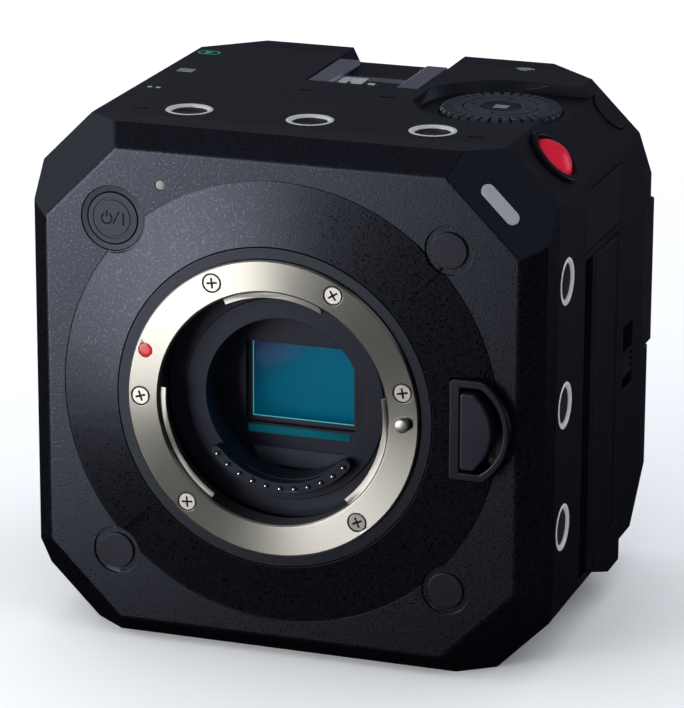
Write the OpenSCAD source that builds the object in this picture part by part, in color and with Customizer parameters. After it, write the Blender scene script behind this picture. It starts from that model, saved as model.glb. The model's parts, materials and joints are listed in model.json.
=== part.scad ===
// Box-shaped digital cinema camera body with a bayonet lens mount and no lens.
// The front faces -Y, the card door side is +X, and the base stands on Z = 0.

/* [Body] */
// Width and height of the square body
body_size = 93; // [91:0.5:97]
// Depth of the casing from its front face to its back face
body_depth = 74.6; // [73:0.2:80]
// Cut at each long corner, measured along one side
corner_cut = 9.2; // [8.4:0.2:10]
// Wall thickness of the casing
wall = 2; // [1.6:0.1:2.4]
// Width of the bevel round the front and back faces
face_bevel = 3.7; // [3:0.1:4.4]
// Depth of the bevel round the front and back faces
bevel_depth = 4; // [3:0.1:5]
// Half length of the straight edges of the front face
front_edge_half = 29.6; // [28:0.2:31]
// Depth of the large facets at the front corners
front_facet_depth = 8.5; // [7.5:0.25:9.5]
// Half length of the straight edges of the back face
rear_edge_half = 27.2; // [26:0.2:29]
// Depth of the large facets at the rear corners
rear_facet_depth = 13; // [11:0.5:14]
// Depth of the front casing, back to its seam
front_seam = 10.4; // [10:0.1:10.6]
// Depth of the rear cover, forward to its seam
rear_seam_depth = 8.6; // [8:0.2:9]

/* [Lens mount] */
// How far the lens flange stands in front of the casing
mount_proud = 3.4; // [3.2:0.1:3.8]
// Outer radius of the bayonet ring
bayonet_r = 26.5; // [26.2:0.1:27]
// Inner radius of the bayonet ring
throat_r = 20.8; // [20.6:0.1:21.2]
// How far the three bayonet tabs reach inwards
tab_reach = 1.1; // [0.9:0.1:1.4]
// Radius of the screw circle of the mount
mount_screw_circle_r = 24.1; // [23.8:0.1:24.4]
// Outer radius of the dark ring that carries the bayonet
mount_base_r = 28.5; // [28.2:0.1:29]
// Radius of the foot of the cone round the mount
cone_r = 39.4; // [38:0.2:40]
// How far the lens lock pin stands in front of the flange
lock_pin_proud = 1.2; // [0.8:0.1:1.4]
// Distance from the lens flange to the sensor
flange_focal_distance = 19.25; // [19.25:0.25:20]
// Width of the sensor window
sensor_w = 18.9; // [17:0.1:19.2]
// Height of the sensor window
sensor_h = 13.8; // [12:0.1:14.2]
// Radius of the arc of lens contacts
contact_arc_r = 15.5; // [15.5:0.1:15.9]

/* [Threads] */
// Distance between neighbouring threaded holes
thread_pitch = 22.15; // [21:0.25:23.5]
// Depth of the threaded holes behind the front face
thread_y = 16; // [15.8:0.1:16.4]
// Radius of the threaded holes
thread_r = 3.2; // [3:0.1:3.4]
// Length of a thread insert
insert_len = 9; // [7:0.5:10]

/* [Controls] */
// Radius of the power button
power_button_r = 4.5; // [4.2:0.1:4.7]
// Radius of the record button
record_button_r = 4.2; // [3.8:0.1:4.4]
// Radius of the round button behind the record button
side_button_r = 3.8; // [3.2:0.1:3.9]
// Radius of the three buttons on the left chamfer
left_button_r = 3.2; // [2.6:0.1:3.6]
// Radius of the control dial
dial_r = 10.8; // [10:0.1:11.2]
// Number of grip slots round the control dial
dial_teeth = 34; // [30:2:40]
// Travel of the power button
power_travel = 0.8; // [0.5:0.1:1]
// Travel of the record button
record_travel = 0.9; // [0.5:0.1:1]
// Travel of the small buttons
button_travel = 0.5; // [0.3:0.1:0.6]
// Travel of the lens release button
release_travel = 2; // [1.6:0.1:2.2]
// Travel of the lens lock pin
lock_pin_travel = 1.4; // [1.2:0.05:1.6]
// Travel of the lens contacts
contact_travel = 0.6; // [0.4:0.1:0.7]

/* [Hot shoe] */
// Outer width of the accessory shoe
shoe_w = 20.6; // [20:0.1:21]
// Gap between the lips of the accessory shoe
shoe_gap = 12.8; // [12.4:0.1:13]
// Length of the accessory shoe
shoe_len = 17.5; // [16.5:0.5:18]
// Clear height under the lips of the accessory shoe
shoe_slot_h = 2.1; // [2:0.05:2.3]

/* [Doors and sockets] */
// Height of the card door above the body's middle
door_top = 22.2; // [21.4:0.1:22.4]
// Length of the card door front to back
door_len = 14.6; // [14:0.1:15]
// Length of the audio socket cover front to back
audio_cover_len = 22.8; // [21:0.2:23]
// Height of the audio socket cover
audio_cover_h = 10.8; // [10:0.1:11]
// Travel of the card door lock
lock_travel = 4.4; // [3:0.2:4.6]
// Width of the battery bay
bay_w = 42.8; // [41:0.2:43]
// Height of the battery bay
bay_h = 70; // [66:0.5:71]
// Depth of the battery bay
bay_depth = 14; // [12:0.5:15]
// Travel of the battery release
battery_release_travel = 4; // [3:0.2:5]

/* [Hidden] */
$fn = 48;

// Shared clearances and the overrun of every cut
over = 1;
press_gap = 0.02;
slide_gap = 0.15;
run_gap = 0.06;
seat_gap = 0.25;

// Body planes, measured from the body's middle in X and Z and from the front face in Y
half = body_size / 2;
flat = half - corner_cut;
span = 2 * body_size;
chamfer_mid = (half + flat) / 2;
side_sum = half + flat;
front_sum = half - face_bevel + front_edge_half;
rear_sum = half - face_bevel + rear_edge_half;
rear_seam = body_depth - rear_seam_depth;
inner_half = half - wall;
front_reach = mount_proud + lock_pin_proud;
rest_shift = (front_reach - body_depth) / 2;

// Lens mount
bayonet_t = 1.6;
bayonet_chamfer = 0.3;
throat_depth = 4.4;
tab_front = 0.8;
tab_t = 1.2;
tab_angles = [[64, 116], [175, 237], [311, 371]];
mount_screw_angles = [116.7, 62.9, 13.3, -50.1, -130.4, 180];
mount_screw_head_r = 1.7;
mount_screw_head_t = 0.5;
mount_screw_r = 0.85;
mount_screw_len = 5;
slot_w = 0.45;
slot_depth = 0.25;
cross_share = 1.4;
mount_base_step = 0.7;
mount_base_back = 4.2;
mount_ledge_w = 0.8;
mount_base_inner_r = throat_r + mount_ledge_w;
cone_top_r = mount_base_r + slide_gap;
cone_h = mount_proud - mount_base_step - press_gap;
cone_line_w = 0.25;
cone_line_depth = 0.2;
index_angle = 160.2;
index_offset = 0.45;
index_circle_r = mount_screw_circle_r + index_offset;
index_r = 1.25;
index_depth = 0.6;
lock_pin_circle_r = mount_screw_circle_r - index_offset;
lock_pin_r = 1.2;
lock_pin_len = 6;
contact_count = 11;
contact_step_angle = 9.6;
contact_angles = [for (i = [0:contact_count - 1]) -90 + (i - (contact_count - 1) / 2) * contact_step_angle];
contact_r = 0.35;
contact_front = 0.2;
contact_block_front = 0.9;
contact_block_w = 1.9;
contact_end_angle = 1.5;
baffle_front = 3;
baffle_step = 0.35;
baffle_step_r = 18.1;
baffle_t = 5;
baffle_open_r = 14.4;
baffle_wall = 1.2;
baffle_r = mount_base_inner_r - slide_gap;
contact_back = baffle_front - contact_r - contact_travel;

// Sensor unit, stacked back from the flange
sensor_y = flange_focal_distance - mount_proud;
glass_t = 1.4;
glass_lip = 1;
glass_lead = 2.85;
glass_y = sensor_y - glass_lead;
glass_w = sensor_w + 2 * glass_lip;
glass_h = sensor_h + 2 * glass_lip;
frame_front_t = 0.6;
frame_rim = 2.4;
frame_w = glass_w + 2 * frame_rim;
frame_h = glass_h + 2 * frame_rim;
frame_front = glass_y - frame_front_t;
sensor_t = 1.3;
sensor_die_lip = 0.8;
sensor_board_w = 44;
sensor_board_h = 40;
sensor_board_t = 1.4;
sensor_board_y = sensor_y + sensor_t;
baffle_back = frame_front;

// Controls on the front
corner_inset_x = 16.2;
corner_inset_z = 16.25;
corner_x = half - corner_inset_x;
corner_z = half - corner_inset_z;
pad_r = 6.1;
collar_w = 1.25;
collar_rim = 0.1;
collar_dish = 0.7;
power_sink = 0.2;
power_face_r = 3.2;
power_dish = 0.15;
power_body_len = 2.6;
power_flange_w = 0.5;
power_flange_t = 0.7;
cap_r = 3.2;
cap_dish_r = 4.3;
cap_dish_depth = 0.4;
cap_proud = 0.1;
cap_len = 2.6;
lamp_inset_x = 25.1;
lamp_inset_z = 9.6;
lamp_x = lamp_inset_x - half;
lamp_z = half - lamp_inset_z;
lamp_r = 0.9;
lamp_len = 2.2;
release_x = 31.3;
release_z = -0.3;
release_w = 10.7;
release_h = 18.1;
release_arc_r = 10.9;
release_front = -2.3;
release_back = 1.6;
release_rim = 2;
release_rim_share = 1.6;
release_button_w = 5.5;
release_button_h = 13.6;
release_button_arc_r = 8.6;
release_button_front = -3;
release_button_back = 1.2;
release_grip_depth = 0.5;

// Tally lamp on the front corner facet
tally_len = 8.5;
tally_w = 2.6;
tally_depth = 1.2;
tally_proud = 0.15;
tally_share = 0.356;
facet_rise = (side_sum - front_sum) / sqrt(2);
facet_tilt = atan2(facet_rise, front_facet_depth);
tally_pos = (front_sum + tally_share * (side_sum - front_sum)) / 2;

// Buttons on the upper chamfers
record_y = 22;
record_collar_foot = 1.4;
button_flange_w = 0.35;
rear_facet_w = (side_sum - rear_sum) / sqrt(2);
rear_facet_shift = wall * (norm([rear_facet_w, rear_facet_depth]) - rear_facet_depth) / rear_facet_w;
side_button_y = body_depth - rear_facet_depth - rear_facet_shift - side_button_r - button_flange_w - press_gap;
left_button_lead = 7;
left_button_y = record_y + left_button_lead;
left_button_ys = [left_button_y, (left_button_y + side_button_y) / 2, side_button_y];
record_collar_w = 1.3;
record_collar_proud = 0.9;
record_collar_foot_w = 0.7;
record_dome_h = 2.4;
record_dome_r = (record_button_r * record_button_r + record_dome_h * record_dome_h) / (2 * record_dome_h);
record_flange_w = 0.35;
flange_t = 0.6;
button_proud = 0.35;

// Control dial
dial_inset = 19.5;
dial_x = half - dial_inset;
dial_y = 40;
dial_pocket_r = 15.5;
dial_pocket_depth = 1.9;
dial_pocket_slope = 1.1;
dial_pocket_rear = 14.8;
dial_top_drop = 0.9;
dial_t = 3.7;
dial_chamfer = 0.5;
dial_slot_w = 0.55;
dial_slot_len = 2.4;
dial_slot_depth = 1.2;
dial_bore_r = 2.86;
dial_ring_r = 6.5;
dial_ring_w = 0.35;
dial_ring_depth = 0.3;
dial_well_depth = 1.7;
menu_r = 3.45;
menu_head_t = 0.9;
menu_drop = 0.1;
bush_wall = 1.1;
bush_flange_r = 5;
bush_flange_t = 0.3;
dial_top = half - dial_top_drop;
dial_base = dial_top - dial_t;
dial_well_floor = dial_top - dial_well_depth;
dial_floor_z = dial_base - bush_flange_t;
dial_tray_t = 1.2;
dial_tray_r = dial_r + slide_gap + wall;
bush_r = dial_bore_r - run_gap;
bush_top = dial_well_floor - slide_gap;

// Accessory shoe
shoe_y = 44;
shoe_top_drop = 0.1;
shoe_lip_t = 0.9;
shoe_base_t = 0.5;
shoe_wall_t = 0.8;
shoe_stop_t = 0.8;
shoe_recess_gap = 0.4;
shoe_top = half - shoe_top_drop;
shoe_lip_z = shoe_top - shoe_lip_t;
shoe_floor_z = shoe_lip_z - shoe_slot_h;
shoe_recess_z = shoe_floor_z - shoe_base_t;
shoe_recess_half = shoe_w / 2 + shoe_recess_gap;
shoe_tray_t = 1.6;
shoe_plate_w = 10.4;
shoe_plate_y = 3.4;
shoe_plate_len = 11;
shoe_spring_w = 2.2;
shoe_spring_t = 0.3;
shoe_spring_y = 3;
shoe_spring_len = 12;
shoe_contact_r = 2.1;
shoe_pin_r = 0.7;
shoe_pin_x = 3.6;
shoe_pin_step = 3.2;
shoe_contact_t = 0.12;

// Thread inserts
insert_wall = 0.95;
insert_r = thread_r + insert_wall;
insert_floor = 1.5;
insert_mouth = 0.45;
boss_r = thread_y - front_seam;
boss_cap = 1;
boss_len = insert_len + boss_cap;
row_places = [for (i = [-1:1]) [i * thread_pitch, thread_y]];
pair_places = [[0, thread_y], [0, thread_y + thread_pitch]];

// Microphone openings on top
mic_x = 7.6;
mic_y = 36.2;
mic_len = 3.1;
mic_w = 0.9;
mic_depth = 1.2;

// Right side: vent slot, card door, lock and audio cover
vent_y = 27.3;
vent_w = 4.6;
vent_top = 22.6;
vent_bottom = -36;
door_y = 34;
door_t = 2;
door_bottom = -41.2;
door_grip_y = 54;
door_grip_top = -33;
door_slant_y = 47;
door_lug_z = -34;
door_lug_len = 3;
door_lug_gap = 0.55;
door_slant_z = -37.8;
door_pin_r = 0.5;
door_pin_hold = 1.6;
door_end = door_y + door_len;
door_hinge_x = half - door_t / 2;
door_hinge_y = door_y + door_t / 2;
door_crease = 0.35;
door_plate_gap = 0.3;
lock_y = 53.6;
lock_w = 6.3;
lock_slot_top = 3;
lock_slot_bottom = -8.8;
lock_knob_h = 4.8;
lock_knob_bottom = -6.6;
lock_plate_t = 1;
lock_plate_lip = 0.9;
lock_ridge_count = 3;
lock_ridge_depth = 0.3;
audio_y = 26.8;
audio_z = 24;
audio_t = 1.2;
audio_corner = 3.4;
audio_gap = 0.2;
audio_jack_r = 3;
audio_bore_r = 1.75;
audio_bore_depth = 8;
audio_jack_len = 11;
audio_jack_drop = 1.6;
audio_jack_inset = 6.4;
audio_jack_z = audio_z + audio_cover_h / 2;
audio_jack_ys = [audio_y + audio_jack_inset, audio_y + audio_cover_len - audio_jack_inset];

// Card slots behind the door
slot_h = 24.4;
slot_gap_y = 2.6;
slot_y = 41;
slot_deep = 27;
slot_rim = 1.3;
card_body_t = 9;
card_front_inset = 4.6;
card_front_x = inner_half - card_front_inset;
card_middle_z = (door_top + door_lug_z) / 2;
slot_rim_share = 1.5;
card_flange_t = 1;

// Rear cover
bay_bottom = -33;
bay_floor = body_depth - bay_depth;
tray_wall = 1.5;
port_inset = 13.6;
port_x = half - port_inset;
port_w = 17;
port_half_h = 27;
port_depth = 8.2;
port_floor = body_depth - port_depth;
bnc_r = 4.8;
bnc_bore_r = 3.9;
bnc_nut_r = 6.2;
bnc_nut_t = 1.4;
bnc_len = 7.6;
bnc_lug_r = 0.9;
bnc_lug_h = 0.9;
bnc_pin_r = 0.6;
bnc_tail = 7;
bnc_places = [[-1, 0.4], [-1, -15.2], [1, -12.6]];
network_z = 17;
network_w = 15.8;
network_h = 13.4;
network_open_w = 11.8;
network_open_h = 8.4;
network_deep = 12;
network_len = 15;
network_proud = 6.8;
power_z = -23;
power_r = 3.6;
power_bore_r = 2.8;
power_pin_r = 0.9;
power_proud_rear = 3;
power_len = 10;
hdmi_z = 15;
hdmi_w = 14.6;
hdmi_h = 5.6;
usb_z = 3.2;
usb_w = 9;
usb_h = 3.3;
plug_proud = 2.2;
plug_len = 9;
plug_wall = 0.45;
plug_deep = 6;
tongue_share = 0.3;
rear_cover_bottom = -4.6;
rear_cover_top = 22.5;
rear_cover_t = 1.4;
rear_hinge_y = rear_seam + seat_gap;
battery_plate_t = 1.2;
battery_rail_w = 2;
battery_rail_h = 3.4;
battery_rail_share = 0.8;
battery_lip = 1.3;
battery_lip_t = 1.2;
terminal_w = 16;
terminal_h = 6;
terminal_t = 3.2;
terminal_z = 4;
terminal_blade_t = 0.7;
terminal_blade_w = 2.4;
terminal_count = 4;
release_slot_z = -38.4;
release_slot_h = 4;
release_stem_w = release_slot_h / 2;
release_knob_w = 8;
release_recess = 1.3;
rear_screw_inset_x = 15.7;
rear_screw_inset_z = 10.9;
rear_screw_x = half - rear_screw_inset_x;
rear_screw_z = half - rear_screw_inset_z;
rear_screw_head_r = 2.1;
rear_screw_head_t = 1;
rear_screw_r = 1.2;
rear_screw_len = 8;

// Inner frame, boards and cooling
chassis_y = mount_base_back;
chassis_t = 2.6;
chassis_hole_r = mount_base_inner_r;
post_r = 2.8;
board_w = 2 * (rear_screw_x - post_r - press_gap);
board_h = 2 * rear_screw_z;
board_t = 1.6;
board_gap = 7.5;
board_y = bay_floor - tray_wall - board_gap - board_t;
chip_w = 14;
chip_t = 1.6;
sink_w = 50;
sink_h = 48;
sink_base_t = 2.4;
sink_y = sensor_board_y + sensor_board_t;
sink_depth = 14;
fin_count = 9;
fin_t = 1.4;
fan_y = 40;
fan_z = -1;
fan_r = 14.6;
fan_w = 32;
fan_t = 9.4;
fan_wall_gap = 0.3;
fan_hub_r = 6;
fan_pin_r = 1.2;
fan_blades = 7;
fan_blade_t = 1;
fan_arm_w = 2;
fan_arm_t = 1.2;
fan_guard_count = 7;
fan_guard_w = 2.4;
fan_guard_pitch = 4.2;
fan_guard_h = 26;
fan_x = -inner_half + fan_wall_gap;

// Drawing frame: moves the body's middle and front face to the row frame
module seat() translate([0, rest_shift, half]) children();

// Extrudes an outline drawn in X and Z, as seen from the front, from y0 back to y1
module front_slab(y0, y1) translate([0, y1, 0]) rotate([90, 0, 0]) linear_extrude(height = y1 - y0) children();

// Extrudes an outline drawn in Y and Z from x0 to x1
module side_slab(x0, x1) translate([x0, 0, 0]) rotate([90, 0, 90]) linear_extrude(height = x1 - x0) children();

// Extrudes an outline drawn in X and Y from z0 to z1
module top_slab(z0, z1) translate([0, 0, z0]) linear_extrude(height = z1 - z0) children();

// Rectangle between two pairs of limits
module rect(a0, a1, b0, b1) translate([a0, b0]) square([a1 - a0, b1 - b0]);

// Flat ring
module ring(r_out, r_in) difference() { circle(r_out); circle(r_in); }

// Part of a ring between two angles
module ring_sector(r_out, r_in, a0, a1) {
    steps = 8;
    reach = 2 * r_out;
    intersection() {
        ring(r_out, r_in);
        polygon(concat([[0, 0]], [for (i = [0:steps]) let (a = a0 + (a1 - a0) * i / steps) reach * [cos(a), sin(a)]]));
    }
}

// Slot with round ends, its middle at the origin and its length along X
module pill(len, w) {
    square([len - w, w], center = true);
    for (s = [-1, 1]) translate([s * (len - w) / 2, 0]) circle(d = w);
}

// D-shaped outline, flat on the left and round on the right
module d_shape(w, h, arc_r) intersection() {
    translate([0, -h / 2]) square([w, h]);
    translate([w - arc_r, 0]) circle(arc_r);
}

// Places its children round a circle in the X-Z plane at the given angles
module round_mount(r, angles) for (a = angles) translate([r * cos(a), 0, r * sin(a)]) children();

// Places its children at the middle of an upper chamfer, with local Z pointing outwards
module on_chamfer(side, y) translate([side * chamfer_mid, y, chamfer_mid]) rotate([0, side * 45, 0]) children();

// Places its children on the upper right corner facet of the front, with local Z pointing outwards
module on_corner_facet() translate([tally_pos, tally_share * front_facet_depth, tally_pos])
    rotate([0, 45, 0]) rotate([facet_tilt, 0, 0]) children();

// Outline of the body seen along one of its flat directions, drawn in by the inset
function slab_outline(reach, front_w, front_d, rear_w, rear_d, inset) =
    let (
        front_l = norm([front_w, front_d]),
        rear_l = norm([rear_w, rear_d]),
        side = reach - inset,
        front_x = reach - front_w - inset * (front_l - front_w) / front_d,
        front_y = front_d + inset * (front_l - front_d) / front_w,
        rear_x = reach - rear_w - inset * (rear_l - rear_w) / rear_d,
        rear_y = body_depth - rear_d - inset * (rear_l - rear_d) / rear_w,
        back = body_depth - inset
    )
    [[-front_x, inset], [front_x, inset], [side, front_y], [side, rear_y],
     [rear_x, back], [-rear_x, back], [-side, rear_y], [-side, front_y]];

// Solid of the whole body, drawn in by the inset
module body_block(inset) intersection() {
    for_flat = slab_outline(half, face_bevel, bevel_depth, face_bevel, bevel_depth, inset);
    for_corner = slab_outline(side_sum / sqrt(2), (side_sum - front_sum) / sqrt(2), front_facet_depth,
        (side_sum - rear_sum) / sqrt(2), rear_facet_depth, inset);
    linear_extrude(height = span, center = true) polygon(for_flat);
    rotate([0, 90, 0]) linear_extrude(height = span, center = true) polygon(for_flat);
    rotate([0, 45, 0]) linear_extrude(height = span, center = true) polygon(for_corner);
    rotate([0, -45, 0]) linear_extrude(height = span, center = true) polygon(for_corner);
}

// Hollow body between two depths
module casing_shell(y0, y1) intersection() {
    difference() {
        body_block(0);
        body_block(wall);
    }
    front_slab(y0, y1) square(span, center = true);
}

// Bosses and holes for thread inserts that point up, at the given places in X and Y
module insert_bosses(places) for (p = places) translate([p[0], p[1], half - boss_len])
    cylinder(r = boss_r, h = boss_len - wall / 2);
module insert_holes(places) for (p = places) translate([p[0], p[1], half - insert_len])
    cylinder(r = insert_r + press_gap, h = insert_len + over);
module inserts(places) for (p = places) translate([p[0], p[1], half - insert_len]) difference() {
    cylinder(r = insert_r, h = insert_len);
    translate([0, 0, insert_floor]) cylinder(r = thread_r, h = insert_len);
    translate([0, 0, insert_len - insert_mouth])
        cylinder(r1 = thread_r, r2 = thread_r + insert_mouth + press_gap, h = insert_mouth + press_gap);
}

// Front casing with the cone round the mount and seats for every front control
module front_casing() color([0.07, 0.075, 0.095]) seat() difference() {
    union() {
        casing_shell(0, front_seam);
        rotate([90, 0, 0]) cylinder(r1 = cone_r, r2 = cone_top_r, h = cone_h);
    }
    front_slab(-mount_proud - over, wall + over) circle(cone_top_r);
    front_slab(-over, cone_line_depth) ring(cone_r + cone_line_w, cone_r);
    translate([-corner_x, 0, corner_z]) {
        front_slab(-mount_proud, 0) circle(pad_r);
        front_slab(-over, wall + over) circle(power_button_r + collar_w + press_gap);
    }
    for (s = [[1, 1], [-1, -1], [1, -1]]) translate([s[0] * corner_x, 0, s[1] * corner_z]) {
        front_slab(-mount_proud, cap_dish_depth) circle(cap_dish_r);
        front_slab(-over, wall + over) circle(cap_r - cap_dish_depth);
    }
    translate([lamp_x, 0, lamp_z]) front_slab(-over, wall + over) circle(lamp_r + press_gap);
    translate([release_x, 0, release_z])
        front_slab(-mount_proud - over, wall + over) d_shape(release_w, release_h, release_arc_r);
    on_corner_facet() translate([0, 0, -tally_depth])
        linear_extrude(height = tally_depth + over) pill(tally_len, tally_w);
}

// Top cover with both upper chamfers, the shoe recess and the dial pocket
module top_cover() color([0.08, 0.085, 0.105]) seat() difference() {
    union() {
        intersection() {
            casing_shell(front_seam, rear_seam);
            translate([-half, 0, flat]) cube([body_size, body_depth, corner_cut + over]);
        }
        insert_bosses(row_places);
        top_slab(shoe_recess_z - shoe_tray_t, half - wall / 2)
            rect(-shoe_recess_half - shoe_tray_t, shoe_recess_half + shoe_tray_t,
                shoe_y - shoe_recess_gap - shoe_tray_t, rear_seam);
        intersection() {
            body_block(wall / 2);
            top_slab(dial_floor_z - dial_tray_t, half) translate([dial_x, dial_y]) circle(dial_tray_r);
        }
        intersection() {
            body_block(wall / 2);
            top_slab(half - dial_pocket_depth - wall, half) intersection() {
                translate([dial_x, dial_y]) circle(dial_pocket_r + wall);
                rect(-half, half, front_seam, rear_seam);
            }
        }
    }
    insert_holes(row_places);
    top_slab(shoe_recess_z, half + over)
        rect(-shoe_recess_half, shoe_recess_half, shoe_y - shoe_recess_gap, body_depth);
    difference() {
        union() {
            translate([dial_x, dial_y, half - dial_pocket_depth]) dial_pocket_bowl();
            top_slab(half - dial_pocket_depth, half + over) rect(dial_x, half, dial_y, dial_y + dial_pocket_rear);
        }
        top_slab(0, span) rect(-half, shoe_recess_half + shoe_tray_t, 0, body_depth);
    }
    for (s = [-1, 1]) translate([s * mic_x, mic_y]) top_slab(half - mic_depth, half + over) pill(mic_len, mic_w);
    top_slab(dial_floor_z, half + over) translate([dial_x, dial_y]) circle(dial_r + slide_gap);
    chamfer_button_hole(1, record_y, record_button_r + record_collar_foot_w + press_gap);
    chamfer_button_hole(1, side_button_y, side_button_r + slide_gap);
    for (y = left_button_ys) chamfer_button_hole(-1, y, left_button_r + slide_gap);
}

// Bowl of the dial pocket with its sloping rim
module dial_pocket_bowl() {
    cylinder(r1 = dial_pocket_r - dial_pocket_slope, r2 = dial_pocket_r, h = dial_pocket_depth);
    cylinder(r = dial_pocket_r - dial_pocket_slope, h = dial_pocket_depth + over);
    translate([0, 0, dial_pocket_depth]) cylinder(r = dial_pocket_r, h = over);
}

// Round hole through a chamfer wall
module chamfer_button_hole(side, y, r) on_chamfer(side, y) translate([0, 0, -wall - over])
    cylinder(r = r, h = wall + 2 * over);

// Upright side wall between the chamfers, on the right
module side_wall() intersection() {
    casing_shell(front_seam, rear_seam);
    translate([inner_half - over, 0, -flat]) cube([wall + 2 * over, body_depth, 2 * flat]);
}

// Turns pieces drawn for the top to one of the sides
module to_side(side) rotate([0, side * 90, 0]) children();

// Left side cover with its air grille over the fan
module left_side_cover() color([0.07, 0.075, 0.09]) seat() difference() {
    union() {
        mirror([1, 0, 0]) side_wall();
        to_side(-1) insert_bosses(row_places);
    }
    to_side(-1) insert_holes(row_places);
    side_slab(-half - over, -inner_half + over) for (i = [0:fan_guard_count - 1])
        translate([fan_y + (i - (fan_guard_count - 1) / 2) * fan_guard_pitch, fan_z]) rotate(90)
            pill(fan_guard_h, fan_guard_w);
}

// Space that the card door needs, with a gap all round
module door_space(gap) {
    rect(door_y - gap, door_end + gap, door_lug_z - gap, door_top + gap);
    rect(door_y + door_lug_len - door_lug_gap, door_end + gap, -span, door_lug_z);
    rect(door_slant_y, door_grip_y + gap, -span, door_grip_top + gap);
}

// Right side cover with the vent slot, card opening, lock slot and audio recess
module right_side_cover() color([0.05, 0.053, 0.066]) seat() difference() {
    union() {
        side_wall();
        to_side(1) insert_bosses(row_places);
    }
    to_side(1) insert_holes(row_places);
    side_slab(inner_half - over, half + over) {
        rect(vent_y, vent_y + vent_w, vent_bottom, vent_top);
        door_space(seat_gap);
        rect(lock_y, lock_y + lock_w, lock_slot_bottom, lock_slot_top);
        for (y = audio_jack_ys) translate([y, audio_jack_z]) circle(audio_jack_r + press_gap);
    }
    side_slab(half - audio_t - slide_gap, half + over) audio_outline(audio_gap);
    translate([door_hinge_x, door_hinge_y, 0]) {
        translate([0, 0, door_top]) cylinder(r = door_pin_r + press_gap, h = door_pin_hold + press_gap);
        translate([0, 0, door_lug_z - door_pin_hold - press_gap])
            cylinder(r = door_pin_r + press_gap, h = door_pin_hold + press_gap);
    }
}

// Bottom cover with both lower chamfers and two thread inserts
module bottom_cover() color([0.07, 0.075, 0.09]) seat() difference() {
    union() {
        intersection() {
            casing_shell(front_seam, rear_seam);
            translate([-half, 0, -half - over]) cube([body_size, body_depth, corner_cut + over]);
        }
        mirror([0, 0, 1]) insert_bosses(pair_places);
    }
    mirror([0, 0, 1]) insert_holes(pair_places);
    side_slab(inner_half - slide_gap, half + over) door_space(seat_gap);
}

// Rear cover with the battery bay and the two port recesses
module rear_cover() color([0.055, 0.058, 0.07]) seat() difference() {
    union() {
        casing_shell(rear_seam, body_depth);
        front_slab(body_depth - bay_depth - tray_wall, body_depth - wall / 2)
            rect(-bay_w / 2 - tray_wall, bay_w / 2 + tray_wall, bay_bottom - tray_wall, bay_bottom + bay_h + tray_wall);
        for (s = [-1, 1]) front_slab(port_floor - tray_wall, body_depth - wall / 2)
            translate([s * port_x, 0]) square([port_w + 2 * tray_wall, 2 * (port_half_h + tray_wall)], center = true);
        for (x = [-1, 1], z = [-1, 1]) translate([x * rear_screw_x, 0, z * rear_screw_z])
            front_slab(body_depth - wall - rear_screw_head_t, body_depth - wall / 2) circle(rear_screw_head_r + tray_wall);
        intersection() {
            body_block(wall / 2);
            top_slab(shoe_recess_z - shoe_tray_t, half - wall / 2)
                rect(-shoe_recess_half - shoe_tray_t, shoe_recess_half + shoe_tray_t, rear_seam, body_depth);
        }
    }
    front_slab(body_depth - bay_depth, body_depth + over)
        rect(-bay_w / 2, bay_w / 2, bay_bottom, bay_bottom + bay_h);
    for (s = [-1, 1]) front_slab(port_floor, body_depth + over)
        translate([s * port_x, 0]) square([port_w, 2 * port_half_h], center = true);
    top_slab(shoe_recess_z, half + over) rect(-shoe_recess_half, shoe_recess_half, 0, body_depth + over);
    for (x = [-1, 1], z = [-1, 1]) translate([x * rear_screw_x, 0, z * rear_screw_z]) {
        front_slab(0, body_depth + over) circle(rear_screw_r + press_gap);
        front_slab(body_depth - rear_screw_head_t, body_depth + over) circle(rear_screw_head_r + press_gap);
    }
    for (p = bnc_places) translate([p[0] * port_x, 0, p[1]]) front_slab(0, body_depth) circle(bnc_r + press_gap);
    port_hole(-1, network_z, network_w, network_h);
    port_hole(1, hdmi_z, hdmi_w, hdmi_h);
    port_hole(1, usb_z, usb_w, usb_h);
    translate([port_x, 0, power_z]) front_slab(0, body_depth) circle(power_r + press_gap);
    top_slab(rear_cover_bottom - seat_gap, rear_cover_top + seat_gap) rear_cover_space();
    front_slab(body_depth - release_recess, body_depth + over) translate([0, release_slot_z])
        square([release_knob_w + battery_release_travel + 2 * slide_gap, release_slot_h], center = true);
    front_slab(0, body_depth) translate([0, release_slot_z])
        square([release_stem_w + battery_release_travel + 2 * slide_gap, release_stem_w], center = true);
}

// Rectangular hole through the floor of a port recess
module port_hole(side, z, w, h) translate([side * port_x, 0, z])
    front_slab(0, body_depth) square([w + 2 * press_gap, h + 2 * press_gap], center = true);

// Inner frame behind the front casing, with four posts back to the rear cover
module main_chassis() color([0.32, 0.33, 0.35]) seat() {
    difference() {
        intersection() {
            body_block(wall + seat_gap);
            front_slab(chassis_y, chassis_y + chassis_t) square(span, center = true);
        }
        front_slab(0, chassis_y + chassis_t + over) circle(chassis_hole_r);
    }
    intersection() {
        body_block(wall + seat_gap);
        for (x = [-1, 1], z = [-1, 1]) translate([x * rear_screw_x, 0, z * rear_screw_z]) difference() {
            front_slab(chassis_y, body_depth - wall - rear_screw_head_t) circle(post_r);
            front_slab(body_depth - rear_screw_len - over, body_depth) circle(rear_screw_r + press_gap);
        }
    }
}

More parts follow.
